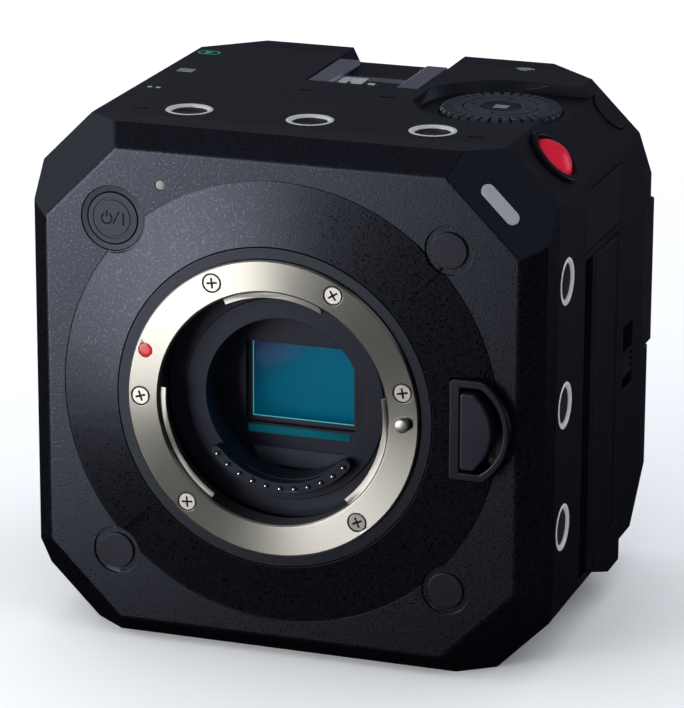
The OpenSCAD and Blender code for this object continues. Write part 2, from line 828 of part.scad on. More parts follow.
// Dark ring that carries the bayonet
module mount_base_ring() color([0.03, 0.03, 0.035]) seat() difference() {
    front_slab(mount_base_step - mount_proud, mount_base_back) ring(mount_base_r, mount_base_inner_r);
    front_slab(-mount_proud - over, bayonet_t - mount_proud) circle(bayonet_r + press_gap);
    round_mount(mount_screw_circle_r, mount_screw_angles)
        front_slab(-mount_proud, mount_base_back + over) circle(mount_screw_r + press_gap);
    round_mount(lock_pin_circle_r, [0]) front_slab(-mount_proud, mount_base_back + over) circle(lock_pin_r + run_gap);
}

// Bright bayonet ring with its three tabs
module bayonet_ring() color([0.72, 0.69, 0.64]) seat() difference() {
    union() {
        rotate([90, 0, 0]) rotate_extrude() polygon([
            [throat_r, mount_proud - throat_depth], [throat_r, mount_proud - bayonet_chamfer],
            [throat_r + bayonet_chamfer, mount_proud], [bayonet_r - bayonet_chamfer, mount_proud],
            [bayonet_r, mount_proud - bayonet_chamfer], [bayonet_r, mount_proud - bayonet_t],
            [mount_base_inner_r - press_gap, mount_proud - bayonet_t],
            [mount_base_inner_r - press_gap, mount_proud - throat_depth]]);
        for (a = tab_angles) front_slab(tab_front - mount_proud, tab_front + tab_t - mount_proud)
            ring_sector(throat_r + bayonet_chamfer, throat_r - tab_reach, a[0], a[1]);
    }
    round_mount(mount_screw_circle_r, mount_screw_angles) {
        front_slab(-mount_proud - over, over) circle(mount_screw_r + press_gap);
        front_slab(-mount_proud - over, mount_screw_head_t - mount_proud) circle(mount_screw_head_r + press_gap);
    }
    round_mount(index_circle_r, [index_angle])
        front_slab(-mount_proud - over, index_depth - mount_proud) circle(index_r + press_gap);
    round_mount(lock_pin_circle_r, [0]) front_slab(-mount_proud - over, over) circle(lock_pin_r + run_gap);
}

// Six cross-head screws of the mount
module mount_screws() color([0.6, 0.58, 0.54]) seat()
    round_mount(mount_screw_circle_r, mount_screw_angles) difference() {
        union() {
            front_slab(-mount_proud, mount_screw_head_t - mount_proud) circle(mount_screw_head_r);
            front_slab(-mount_proud, mount_screw_len - mount_proud) circle(mount_screw_r);
        }
        for (a = [0, 90]) rotate([0, a, 0]) front_slab(-mount_proud - over, slot_depth - mount_proud)
            square([cross_share * mount_screw_head_r, slot_w], center = true);
    }

// Red lens index dot
module index_dot() color([0.75, 0.05, 0.05]) seat() round_mount(index_circle_r, [index_angle])
    front_slab(-mount_proud, index_depth - mount_proud) circle(index_r);

// Lens lock pin, which sinks into the mount when the release button is pressed
module lens_lock_pin() color([0.75, 0.73, 0.7]) seat() round_mount(lock_pin_circle_r, [0])
    front_slab(-front_reach, lock_pin_len - front_reach) circle(lock_pin_r);

// Moulded arc that carries the lens contacts
module contact_block() color([0.02, 0.02, 0.022]) seat() difference() {
    front_slab(contact_block_front, baffle_front) {
        ring_sector(contact_arc_r + contact_block_w / 2, contact_arc_r - contact_block_w / 2,
            contact_angles[0] - contact_end_angle, contact_angles[contact_count - 1] + contact_end_angle);
        for (a = [contact_angles[0] - contact_end_angle, contact_angles[contact_count - 1] + contact_end_angle])
            rotate(a) translate([contact_arc_r, 0]) circle(contact_block_w / 2 - press_gap);
    }
    round_mount(contact_arc_r, contact_angles)
        front_slab(contact_block_front - over, contact_back + contact_travel + slide_gap) circle(contact_r + run_gap);
}

// Eleven sprung lens contacts
module contact_pins() color([0.8, 0.68, 0.4]) seat() round_mount(contact_arc_r, contact_angles)
    front_slab(contact_front, contact_back) circle(contact_r);

// Black light baffle behind the mount
module light_baffle() color([0.02, 0.02, 0.022]) seat() difference() {
    union() {
        front_slab(baffle_front, baffle_back) circle(baffle_step_r);
        front_slab(baffle_front + baffle_step, baffle_back) circle(baffle_r);
    }
    front_slab(baffle_front - over, baffle_front + baffle_t + over) circle(baffle_open_r);
    front_slab(baffle_front + baffle_t, baffle_back - baffle_wall) circle(baffle_r - baffle_wall);
    front_slab(baffle_front, baffle_back + over)
        square([sensor_w + baffle_wall, sensor_h + baffle_wall], center = true);
}

// Frame that holds the sensor and its cover glass
module sensor_frame() color([0.05, 0.052, 0.06]) seat() difference() {
    front_slab(frame_front, sensor_board_y) square([frame_w, frame_h], center = true);
    front_slab(0, sensor_y) square([sensor_w, sensor_h], center = true);
    front_slab(glass_y, sensor_y) square([glass_w + 2 * press_gap, glass_h + 2 * press_gap], center = true);
    front_slab(sensor_y, sensor_board_y + over)
        square([sensor_w + 2 * sensor_die_lip, sensor_h + 2 * sensor_die_lip], center = true);
}
module sensor_cover_glass() color([0.02, 0.32, 0.4]) seat()
    front_slab(glass_y, glass_y + glass_t) square([glass_w, glass_h], center = true);
module image_sensor() color([0.02, 0.25, 0.32]) seat() front_slab(sensor_y, sensor_board_y)
    square([sensor_w + 2 * (sensor_die_lip - press_gap), sensor_h + 2 * (sensor_die_lip - press_gap)], center = true);
module sensor_board() color([0.05, 0.22, 0.12]) seat() front_slab(sensor_board_y, sensor_board_y + sensor_board_t)
    square([sensor_board_w, sensor_board_h], center = true);

// Power button in its collar
module power_button() color([0.06, 0.065, 0.08]) seat() translate([-corner_x, 0, corner_z]) difference() {
    union() {
        front_slab(power_sink, power_body_len) circle(power_button_r);
        front_slab(power_body_len - power_flange_t, power_body_len) circle(power_button_r + power_flange_w);
    }
    front_slab(-over, power_sink + power_dish) ring(power_face_r + slot_w, power_face_r);
}
module power_button_collar() color([0.04, 0.042, 0.05]) seat() translate([-corner_x, 0, corner_z]) {
    collar_back = power_body_len - power_flange_t - slide_gap;
    collar_r = power_button_r + collar_w;
    bore_r = power_button_r + slide_gap;
    rotate([90, 0, 0]) rotate_extrude() polygon([
        [bore_r, -collar_back], [collar_r, -collar_back], [collar_r, 0],
        [collar_r - collar_rim, 0], [bore_r, -collar_dish]]);
}

// Round caps over the corner screws
module screw_caps() color([0.07, 0.075, 0.09]) seat()
    for (s = [[1, 1], [-1, -1], [1, -1]]) translate([s[0] * corner_x, 0, s[1] * corner_z]) {
        front_slab(-cap_proud, cap_dish_depth) circle(cap_r);
        front_slab(cap_dish_depth, cap_len) circle(cap_r - cap_dish_depth - press_gap);
    }
module status_lamp_lens() color([0.75, 0.72, 0.6]) seat() translate([lamp_x, 0, lamp_z])
    front_slab(0, lamp_len) circle(lamp_r);

// Lens release button and its bezel
module release_bezel() color([0.04, 0.042, 0.05]) seat() translate([release_x, 0, release_z]) difference() {
    translate([press_gap, 0, 0]) front_slab(release_front, release_back)
        d_shape(release_w - 2 * press_gap, release_h - 4 * press_gap, release_arc_r);
    translate([release_rim, 0, 0]) front_slab(release_front - over, release_back + over)
        d_shape(release_w - release_rim_share * release_rim, release_h - release_rim_share * release_rim,
                release_arc_r - release_rim);
}
module lens_release_button() color([0.025, 0.025, 0.03]) seat()
    translate([release_x + release_rim + slide_gap, 0, release_z]) difference() {
        front_slab(release_button_front, release_button_back)
            d_shape(release_button_w, release_button_h, release_button_arc_r);
        front_slab(release_button_front - over, release_button_front + release_grip_depth)
            translate([release_grip_depth, 0]) rotate(90) pill(release_button_h / 2, release_grip_depth);
    }
module tally_lamp_lens() color([0.75, 0.75, 0.78]) seat() on_corner_facet()
    translate([0, 0, press_gap - tally_depth])
        linear_extrude(height = tally_depth + tally_proud) pill(tally_len - 2 * press_gap, tally_w - 2 * press_gap);

// Record button with a domed face in a raised collar
module record_button() color([0.7, 0.03, 0.1]) seat() on_chamfer(1, record_y) {
    intersection() {
        translate([0, 0, record_dome_h - record_dome_r]) sphere(record_dome_r);
        cylinder(r = record_button_r, h = record_dome_h + over);
    }
    translate([0, 0, -record_collar_foot - flange_t - slide_gap]) {
        cylinder(r = record_button_r, h = record_collar_foot + flange_t + slide_gap);
        cylinder(r = record_button_r + record_flange_w, h = flange_t);
    }
}
module record_button_collar() color([0.03, 0.03, 0.035]) seat() on_chamfer(1, record_y) difference() {
    union() {
        cylinder(r = record_button_r + record_collar_w, h = record_collar_proud);
        translate([0, 0, -record_collar_foot])
            cylinder(r = record_button_r + record_collar_foot_w, h = record_collar_foot + record_collar_proud);
    }
    translate([0, 0, -wall - over]) cylinder(r = record_button_r + slide_gap, h = wall + record_collar_proud + 2 * over);
}

// Small flanged button that stands in a chamfer
module chamfer_button(side, y, r) seat() on_chamfer(side, y) {
    translate([0, 0, -wall - slide_gap]) cylinder(r = r, h = wall + slide_gap + button_proud);
    translate([0, 0, -wall - slide_gap - flange_t]) cylinder(r = r + button_flange_w, h = flange_t);
}
module side_function_button() color([0.06, 0.063, 0.078]) chamfer_button(1, side_button_y, side_button_r);
module function_button() color([0.06, 0.063, 0.078]) chamfer_button(-1, left_button_ys[0], left_button_r);
module quick_menu_button() color([0.06, 0.063, 0.078]) chamfer_button(-1, left_button_ys[1], left_button_r);
module playback_button() color([0.06, 0.063, 0.078]) chamfer_button(-1, left_button_ys[2], left_button_r);

// Slotted control dial, which turns on its bush round the menu button
module control_dial() color([0.03, 0.03, 0.034]) seat() translate([dial_x, dial_y, 0]) difference() {
    union() {
        top_slab(dial_base, dial_top - dial_chamfer) circle(dial_r);
        translate([0, 0, dial_top - dial_chamfer])
            cylinder(r1 = dial_r, r2 = dial_r - dial_chamfer, h = dial_chamfer);
    }
    top_slab(dial_top - dial_slot_depth, dial_top + over) for (i = [0:dial_teeth - 1])
        rotate(i * 360 / dial_teeth) rect(dial_r - dial_slot_len, dial_r + over, -dial_slot_w / 2, dial_slot_w / 2);
    top_slab(dial_base - over, dial_top + over) circle(dial_bore_r);
    top_slab(dial_well_floor, dial_top + over) circle(menu_r + slide_gap);
    top_slab(dial_top - dial_ring_depth, dial_top + over) ring(dial_ring_r + dial_ring_w, dial_ring_r);
}
module dial_bush() color([0.5, 0.5, 0.52]) seat() translate([dial_x, dial_y, 0]) difference() {
    union() {
        top_slab(dial_floor_z, dial_base - press_gap) circle(bush_flange_r);
        top_slab(dial_floor_z, bush_top) circle(bush_r);
    }
    top_slab(dial_floor_z - over, bush_top + over) circle(bush_r - bush_wall);
}
module menu_button() color([0.05, 0.05, 0.056]) seat() translate([dial_x, dial_y, 0]) {
    top_slab(dial_top - menu_drop - menu_head_t, dial_top - menu_drop) circle(menu_r);
    top_slab(dial_floor_z + button_travel + slide_gap, dial_top - menu_drop - menu_head_t)
        circle(bush_r - bush_wall - run_gap);
}

// Accessory shoe: one pressed channel with inward lips and a front stop
module hot_shoe() color([0.5, 0.49, 0.52]) seat() difference() {
    top_slab(shoe_recess_z, shoe_top) rect(-shoe_w / 2, shoe_w / 2, shoe_y, shoe_y + shoe_len);
    top_slab(shoe_floor_z, shoe_lip_z)
        rect(shoe_wall_t - shoe_w / 2, shoe_w / 2 - shoe_wall_t, shoe_y + shoe_stop_t, shoe_y + shoe_len + over);
    top_slab(shoe_floor_z, shoe_top + over) rect(-shoe_gap / 2, shoe_gap / 2, shoe_y - over, shoe_y + shoe_len + over);
    top_slab(shoe_recess_z - over, shoe_floor_z + over) rect(-shoe_plate_w / 2 - press_gap, shoe_plate_w / 2 + press_gap,
        shoe_y + shoe_plate_y - press_gap, shoe_y + shoe_plate_y + shoe_plate_len + press_gap);
}
module shoe_springs() color([0.75, 0.75, 0.76]) seat() for (s = [-1, 1])
    translate([s * (shoe_gap / 2 + shoe_w / 2 - shoe_wall_t) / 2, shoe_y + shoe_spring_y, shoe_floor_z])
        translate([-shoe_spring_w / 2, 0, 0]) cube([shoe_spring_w, shoe_spring_len, shoe_spring_t]);
module shoe_contact_plate() color([0.03, 0.03, 0.034]) seat() top_slab(shoe_recess_z, shoe_floor_z)
    rect(-shoe_plate_w / 2, shoe_plate_w / 2, shoe_y + shoe_plate_y, shoe_y + shoe_plate_y + shoe_plate_len);
module shoe_contacts() color([0.8, 0.78, 0.7]) seat()
    translate([0, shoe_y + shoe_plate_y + shoe_plate_len / 2, 0]) top_slab(shoe_floor_z, shoe_floor_z + shoe_contact_t) {
        circle(shoe_contact_r);
        for (s = [-1, 1], i = [-1, 1]) translate([s * shoe_pin_x, i * shoe_pin_step]) circle(shoe_pin_r);
    }

// Eleven steel thread inserts: three on each of top, left and right, two below
module thread_inserts() color([0.7, 0.71, 0.72]) seat() {
    inserts(row_places);
    for (side = [-1, 1]) to_side(side) inserts(row_places);
    mirror([0, 0, 1]) inserts(pair_places);
}

// Card door with its hinge knuckle in front and a finger grip at the foot
module card_door() color([0.05, 0.053, 0.066]) seat() difference() {
    union() {
        side_slab(half - door_t, half) polygon([
            [door_hinge_y, door_top], [door_end, door_top], [door_end, door_grip_top],
            [door_grip_y, door_grip_top], [door_grip_y, door_bottom], [door_slant_y, door_bottom],
            [door_y + door_lug_len, door_slant_z], [door_y + door_lug_len, door_lug_z], [door_hinge_y, door_lug_z]]);
        translate([door_hinge_x, door_hinge_y, door_lug_z]) cylinder(r = door_t / 2, h = door_top - door_lug_z);
    }
    translate([door_hinge_x, door_hinge_y, door_lug_z - over])
        cylinder(r = door_pin_r + run_gap, h = door_top - door_lug_z + 2 * over);
    translate([half - door_crease, door_end - 2 * door_crease, door_lug_z])
        cube([door_t, door_crease, door_top - door_lug_z + over]);
}
module card_door_pin() color([0.6, 0.6, 0.62]) seat()
    translate([door_hinge_x, door_hinge_y, door_lug_z - door_pin_hold])
        cylinder(r = door_pin_r, h = door_top - door_lug_z + 2 * door_pin_hold);

// Lock slider of the card door: a ridged knob on a plate behind the wall
module card_door_lock() color([0.06, 0.063, 0.075]) seat() difference() {
    union() {
        side_slab(inner_half - slide_gap - lock_plate_t, half) rect(lock_y + slide_gap, lock_y + lock_w - slide_gap,
            lock_knob_bottom, lock_knob_bottom + lock_knob_h);
        side_slab(inner_half - slide_gap - lock_plate_t, inner_half - slide_gap)
            rect(lock_y - lock_plate_lip, lock_y + lock_w + lock_plate_lip,
                lock_slot_bottom - lock_travel - lock_plate_lip, lock_slot_top + lock_plate_lip);
    }
    side_slab(half - lock_ridge_depth, half + over) for (i = [1:lock_ridge_count])
        translate([0, lock_knob_bottom + i * lock_knob_h / (lock_ridge_count + 1)])
            rect(lock_y - over, lock_y + lock_w + over, -lock_ridge_depth, lock_ridge_depth);
}

// Card slots: a moulded block with two narrow openings towards the door
module card_slots() color([0.03, 0.03, 0.034]) seat() difference() {
    union() {
        side_slab(card_front_x - slot_deep - slot_rim, card_front_x)
            rect(slot_y - card_body_t / 2, slot_y + card_body_t / 2,
                card_middle_z - slot_h - slot_rim_share * slot_rim,
                card_middle_z + slot_h + slot_rim_share * slot_rim);
        side_slab(card_front_x - card_flange_t, inner_half - door_plate_gap) difference() {
            rect(door_y - slot_rim, door_end + slot_rim, door_lug_z - slot_rim, door_top + slot_rim);
            rect(door_y, door_end, door_lug_z, door_top);
        }
        side_slab(card_front_x - card_flange_t, card_front_x)
            rect(door_y - slot_rim, door_end + slot_rim, door_lug_z - slot_rim, door_top + slot_rim);
    }
    side_slab(card_front_x - slot_deep, card_front_x + over) for (s = [-1, 1])
        translate([slot_y, card_middle_z + s * (slot_h + slot_rim) / 2]) square([slot_gap_y, slot_h], center = true);
}

// Soft audio socket cover with a cut corner, which bends outwards about its outer front edge
module audio_outline(gap) polygon([
    [audio_y - gap, audio_z - gap], [audio_y + audio_cover_len + gap, audio_z - gap],
    [audio_y + audio_cover_len + gap, audio_z + audio_cover_h + gap],
    [audio_y + audio_corner, audio_z + audio_cover_h + gap],
    [audio_y - gap, audio_z + audio_cover_h - audio_corner]]);
module audio_cover() color([0.045, 0.047, 0.057]) seat() side_slab(half - audio_t, half) audio_outline(0);
module audio_sockets() color([0.1, 0.1, 0.11]) seat() for (y = audio_jack_ys)
    side_slab(half - audio_t - audio_jack_len, half - audio_t - 2 * slide_gap) translate([y, audio_jack_z]) {
        ring(audio_jack_r, audio_bore_r);
    }

// Battery plate with two guide rails, its terminals and the release slider
module battery_plate() color([0.12, 0.12, 0.13]) seat() {
    plate_half = bay_w / 2 - slide_gap;
    front_slab(bay_floor, bay_floor + battery_plate_t)
        rect(-plate_half, plate_half, bay_bottom + slide_gap, bay_bottom + bay_h - slide_gap);
    for (s = [0, 1]) mirror([s, 0, 0]) {
        front_slab(bay_floor, bay_floor + battery_plate_t + battery_rail_h)
            rect(plate_half - battery_rail_w, plate_half, bay_bottom + slide_gap, bay_bottom + battery_rail_share * bay_h);
        front_slab(bay_floor + battery_plate_t + battery_rail_h - battery_lip_t, bay_floor + battery_plate_t + battery_rail_h)
            rect(plate_half - battery_rail_w - battery_lip, plate_half, bay_bottom + slide_gap, bay_bottom + battery_rail_share * bay_h);
    }
}
module battery_terminals() color([0.05, 0.05, 0.055]) seat() translate([0, bay_floor + battery_plate_t, bay_bottom + terminal_z])
    difference() {
        translate([-terminal_w / 2, 0, 0]) cube([terminal_w, terminal_t, terminal_h]);
        for (i = [0:terminal_count - 1])
            translate([(i - (terminal_count - 1) / 2) * terminal_w / terminal_count - terminal_blade_t / 2, terminal_t - terminal_blade_w, terminal_blade_t])
                cube([terminal_blade_t, terminal_blade_w + over, terminal_h]);
    }
module battery_release() color([0.09, 0.09, 0.1]) seat() translate([-battery_release_travel / 2, 0, release_slot_z]) {
    front_slab(body_depth - release_recess + slide_gap, body_depth)
        square([release_knob_w, release_slot_h - 2 * slide_gap], center = true);
    front_slab(body_depth - wall - slide_gap - flange_t, body_depth - release_recess + slide_gap)
        square([release_stem_w, release_stem_w - 2 * slide_gap], center = true);
    front_slab(body_depth - wall - slide_gap - flange_t, body_depth - wall - slide_gap)
        square([release_knob_w, release_slot_h - 2 * slide_gap], center = true);
}

// Three locking video connectors
module video_connectors() color([0.7, 0.7, 0.71]) seat() for (p = bnc_places) translate([p[0] * port_x, port_floor, p[1]])
    difference() {
        union() {
            front_slab(0, bnc_nut_t) circle(bnc_nut_r, $fn = 6);
            front_slab(-bnc_tail, bnc_len) circle(bnc_r);
            for (s = [-1, 1]) translate([s * bnc_r, bnc_len - 2 * bnc_lug_r, 0]) rotate([0, s * 90, 0])
                translate([0, 0, -bnc_lug_h]) cylinder(r = bnc_lug_r, h = 2 * bnc_lug_h);
        }
        front_slab(bnc_nut_t, bnc_len + over) ring(bnc_bore_r, bnc_pin_r);
    }

// Thin-walled plug socket with a tongue
module plug_socket(z, w, h) seat() translate([port_x, port_floor, z]) {
    difference() {
        front_slab(plug_proud - plug_len, plug_proud) square([w, h], center = true);
        front_slab(plug_proud - plug_deep, plug_proud + over) square([w - 2 * plug_wall, h - 2 * plug_wall], center = true);
    }
    front_slab(plug_proud - plug_deep, plug_proud - plug_wall)
        square([w - 4 * plug_wall - h * tongue_share, h * tongue_share], center = true);
}
module hdmi_socket() color([0.6, 0.6, 0.62]) plug_socket(hdmi_z, hdmi_w, hdmi_h);
module usb_socket() color([0.6, 0.6, 0.62]) plug_socket(usb_z, usb_w, usb_h);
module network_socket() color([0.55, 0.55, 0.57]) seat() translate([-port_x, port_floor, network_z]) difference() {
    front_slab(network_proud - network_len, network_proud) square([network_w, network_h], center = true);
    front_slab(network_proud - network_deep, network_proud + over) square([network_open_w, network_open_h], center = true);
}
module power_socket() color([0.1, 0.1, 0.11]) seat() translate([port_x, port_floor, power_z]) difference() {
    front_slab(power_proud_rear - power_len, power_proud_rear) circle(power_r);
    front_slab(0, power_proud_rear + over) ring(power_bore_r, power_pin_r);
}

// Soft cover over the two plug sockets, which wraps the right rear edge and bends about its outer front edge
module rear_cover_space() {
    rect(half - rear_cover_t - slide_gap, half + over, rear_seam - over, body_depth + over);
    rect(port_x - port_w / 2, half + over, body_depth - rear_cover_t - slide_gap, body_depth + over);
}
module rear_socket_cover() color([0.03, 0.03, 0.035]) seat() top_slab(rear_cover_bottom, rear_cover_top) {
    rect(half - rear_cover_t, half, rear_hinge_y, body_depth - rear_cover_t);
    polygon([[port_x - port_w / 2 + seat_gap, body_depth - rear_cover_t], [half, body_depth - rear_cover_t],
        [half - rear_cover_t, body_depth], [port_x - port_w / 2 + seat_gap, body_depth]]);
}

// Main board with its processor
module main_board() color([0.05, 0.22, 0.12]) seat() {
    front_slab(board_y, board_y + board_t) square([board_w, board_h], center = true);
    front_slab(board_y - chip_t, board_y) translate([-chip_w, 0]) square(chip_w, center = true);
}

// Heat sink with upright fins
module heat_sink() color([0.62, 0.63, 0.65]) seat() {
    front_slab(sink_y, sink_y + sink_base_t) square([sink_w, sink_h], center = true);
    for (i = [0:fin_count - 1]) translate([(i / (fin_count - 1) - 0.5) * (sink_w - fin_t), 0])
        front_slab(sink_y + sink_base_t, sink_y + sink_depth) square([fin_t, sink_h], center = true);
}

// Fan housing on the left cover and its rotor
module fan_housing() color([0.04, 0.04, 0.045]) seat() {
    difference() {
        side_slab(fan_x, fan_x + fan_t) translate([fan_y, fan_z]) square(fan_w, center = true);
        side_slab(fan_x - over, fan_x + fan_t + over) translate([fan_y, fan_z]) circle(fan_r + 2 * slide_gap);
    }
    side_slab(fan_x + fan_t - fan_arm_t, fan_x + fan_t) translate([fan_y, fan_z]) intersection() {
        for (a = [0, 60, 120]) rotate(a) square([2 * fan_w, fan_arm_w], center = true);
        circle(fan_r + fan_arm_w);
    }
    side_slab(fan_x + fan_arm_t, fan_x + fan_t) translate([fan_y, fan_z]) circle(fan_pin_r);
}
module fan_rotor() color([0.03, 0.03, 0.035]) seat()
    side_slab(fan_x + fan_arm_t, fan_x + fan_t - fan_arm_t - 2 * slide_gap) translate([fan_y, fan_z]) difference() {
        union() {
            circle(fan_hub_r);
            for (i = [0:fan_blades - 1]) rotate(i * 360 / fan_blades)
                translate([fan_hub_r / 2, 0]) rotate(25) translate([0, -fan_blade_t / 2])
                    square([fan_r - fan_hub_r, fan_blade_t]);
        }
        circle(fan_pin_r + run_gap);
    }

// Rear casing screws
module casing_screws() color([0.1, 0.1, 0.11]) seat() for (x = [-1, 1], z = [-1, 1])
    translate([x * rear_screw_x, 0, z * rear_screw_z]) difference() {
        union() {
            front_slab(body_depth - rear_screw_head_t, body_depth - press_gap) circle(rear_screw_head_r);
            front_slab(body_depth - rear_screw_len, body_depth - press_gap) circle(rear_screw_r);
        }
        for (a = [0, 90]) rotate([0, a, 0]) front_slab(body_depth - 2 * slot_depth, body_depth + over)
            square([cross_share * rear_screw_head_r, slot_w], center = true);
    }

front_casing();
top_cover();
left_side_cover();
right_side_cover();
bottom_cover();
rear_cover();
main_chassis();
mount_base_ring();
bayonet_ring();
mount_screws();
index_dot();
lens_lock_pin();
contact_block();
contact_pins();
light_baffle();
sensor_frame();
sensor_cover_glass();
image_sensor();
sensor_board();
power_button();
power_button_collar();
screw_caps();
status_lamp_lens();
lens_release_button();
release_bezel();
tally_lamp_lens();
record_button();
record_button_collar();
side_function_button();
function_button();
quick_menu_button();
playback_button();
control_dial();
dial_bush();
menu_button();
hot_shoe();
shoe_springs();
shoe_contact_plate();
shoe_contacts();
thread_inserts();
card_door();
card_door_pin();
card_door_lock();
card_slots();
audio_cover();
audio_sockets();
battery_plate();
battery_terminals();
battery_release();
video_connectors();
hdmi_socket();
usb_socket();
network_socket();
power_socket();
rear_socket_cover();
main_board();
heat_sink();
fan_housing();
fan_rotor();
casing_screws();
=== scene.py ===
"""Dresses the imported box-shaped cinema camera body and sets it on a pale studio floor.

Lengths are millimetres of the body's own frame: X to the right seen from the
front, Y back from the front face, Z up from the body's middle. A seat turns
them into the metres of the shared frame.
"""

import json
import logging
import math
from collections.abc import Callable, Sequence
from dataclasses import dataclass
from enum import Enum
from functools import cache

import bmesh
import bpy
from mathutils import Matrix, Vector

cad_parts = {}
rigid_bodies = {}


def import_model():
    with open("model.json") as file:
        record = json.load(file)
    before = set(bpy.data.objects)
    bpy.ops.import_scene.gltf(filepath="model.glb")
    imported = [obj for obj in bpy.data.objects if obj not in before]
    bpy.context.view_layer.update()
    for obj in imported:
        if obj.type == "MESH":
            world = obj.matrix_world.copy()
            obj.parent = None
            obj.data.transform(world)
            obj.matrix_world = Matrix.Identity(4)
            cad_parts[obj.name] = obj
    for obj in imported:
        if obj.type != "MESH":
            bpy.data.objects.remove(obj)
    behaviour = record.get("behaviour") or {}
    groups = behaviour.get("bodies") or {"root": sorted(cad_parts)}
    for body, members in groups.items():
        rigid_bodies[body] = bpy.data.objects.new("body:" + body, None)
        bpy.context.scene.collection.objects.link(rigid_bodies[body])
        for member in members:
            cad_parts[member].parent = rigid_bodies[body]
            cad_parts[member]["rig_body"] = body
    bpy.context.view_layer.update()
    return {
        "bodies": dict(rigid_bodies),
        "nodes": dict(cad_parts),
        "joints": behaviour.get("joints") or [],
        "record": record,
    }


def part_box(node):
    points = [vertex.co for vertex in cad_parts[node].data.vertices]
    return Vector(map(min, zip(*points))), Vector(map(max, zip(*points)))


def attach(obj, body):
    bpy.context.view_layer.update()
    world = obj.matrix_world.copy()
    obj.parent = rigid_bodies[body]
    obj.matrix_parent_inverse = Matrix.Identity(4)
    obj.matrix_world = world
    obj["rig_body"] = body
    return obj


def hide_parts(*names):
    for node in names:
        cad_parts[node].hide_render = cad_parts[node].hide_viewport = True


LOG = logging.getLogger("camera_body")
MM = 0.001
HALF = 46.5
FRONT_SETBACK = 35.0
ROW = Matrix.Translation((0.0, -FRONT_SETBACK * MM, HALF * MM)) @ Matrix.Scale(MM, 4)
FLANGE_Y = -3.4
CHAMFER_MID = 41.9
THREAD_Y = 16.0
THREAD_PITCH = 22.15
EDGE_ANGLE = 28.0
SMOOTH_ANGLE = 32.0
FLAT_ANGLE = 0.6
WELD_M = 3e-6
PRINTED = (0.0, 0.03)
NOISE_RANGE = (0.3, 0.7)

Triple = tuple[float, float, float]
Colour = Triple
Outline = list[tuple[float, float]]
Profile = Sequence[tuple[float, float]]
Piece = bpy.types.Object
Socket = bpy.types.NodeSocket


class Face(Enum):
    """The way a piece looks out of the body: local X, Y and Z axes in the body's frame."""

    FRONT = ((1, 0, 0), (0, 0, 1), (0, -1, 0))
    TOP = ((1, 0, 0), (0, 1, 0), (0, 0, 1))
    BOTTOM = ((1, 0, 0), (0, -1, 0), (0, 0, -1))
    RIGHT = ((0, 1, 0), (0, 0, 1), (1, 0, 0))
    LEFT = ((0, -1, 0), (0, 0, 1), (-1, 0, 0))
    RIGHT_CHAMFER = ((0.70711, 0, -0.70711), (0, 1, 0), (0.70711, 0, 0.70711))


def turn(face: Face) -> Matrix:
    """Gives the rotation of a face as a 4 x 4 matrix, with the face's axes as its columns."""
    x, y, z = face.value
    return Matrix((x, y, z)).transposed().to_4x4()


def seat(face: Face, x: float, y: float, z: float) -> Matrix:
    """Gives the matrix from a piece's own millimetres, with its origin at a spot, to the shared frame."""
    return ROW @ Matrix.Translation((x, y, z)) @ turn(face)


def rise(row_y: float) -> float:
    """Gives how far, in millimetres, a Y of the shared frame stands out of the front face."""
    return -(row_y / MM + FRONT_SETBACK)


def scaled(colour: Colour, share: float) -> Colour:
    """Gives a colour made lighter or darker by a share."""
    return tuple(share * c for c in colour)


class NodeDraft:
    """A node tree that is filled in a node at a time."""

    def __init__(self, tree: bpy.types.NodeTree) -> None:
        """Takes the tree to fill in."""
        self.tree = tree

    def put(self, socket: Socket, value: object) -> None:
        """Links an input or sets it.

        Args:
            socket: The input.
            value: The output to link, or the value. A colour gets its alpha here.
        """
        if isinstance(value, bpy.types.NodeSocket):
            self.tree.links.new(value, socket)
        else:
            socket.default_value = (*value, 1.0) if socket.type == "RGBA" else value

    def add(self, kind: str, inputs: dict[str | int, object] | None = None, **settings: object) -> bpy.types.Node:
        """Adds a node.

        Args:
            kind: The node's type.
            inputs: What its inputs are linked or set to.
            settings: The node's own settings.

        Returns:
            The node.
        """
        node = self.tree.nodes.new(kind)
        for name, value in settings.items():
            setattr(node, name, value)
        for key, value in (inputs or {}).items():
            self.put(node.inputs[key], value)
        return node


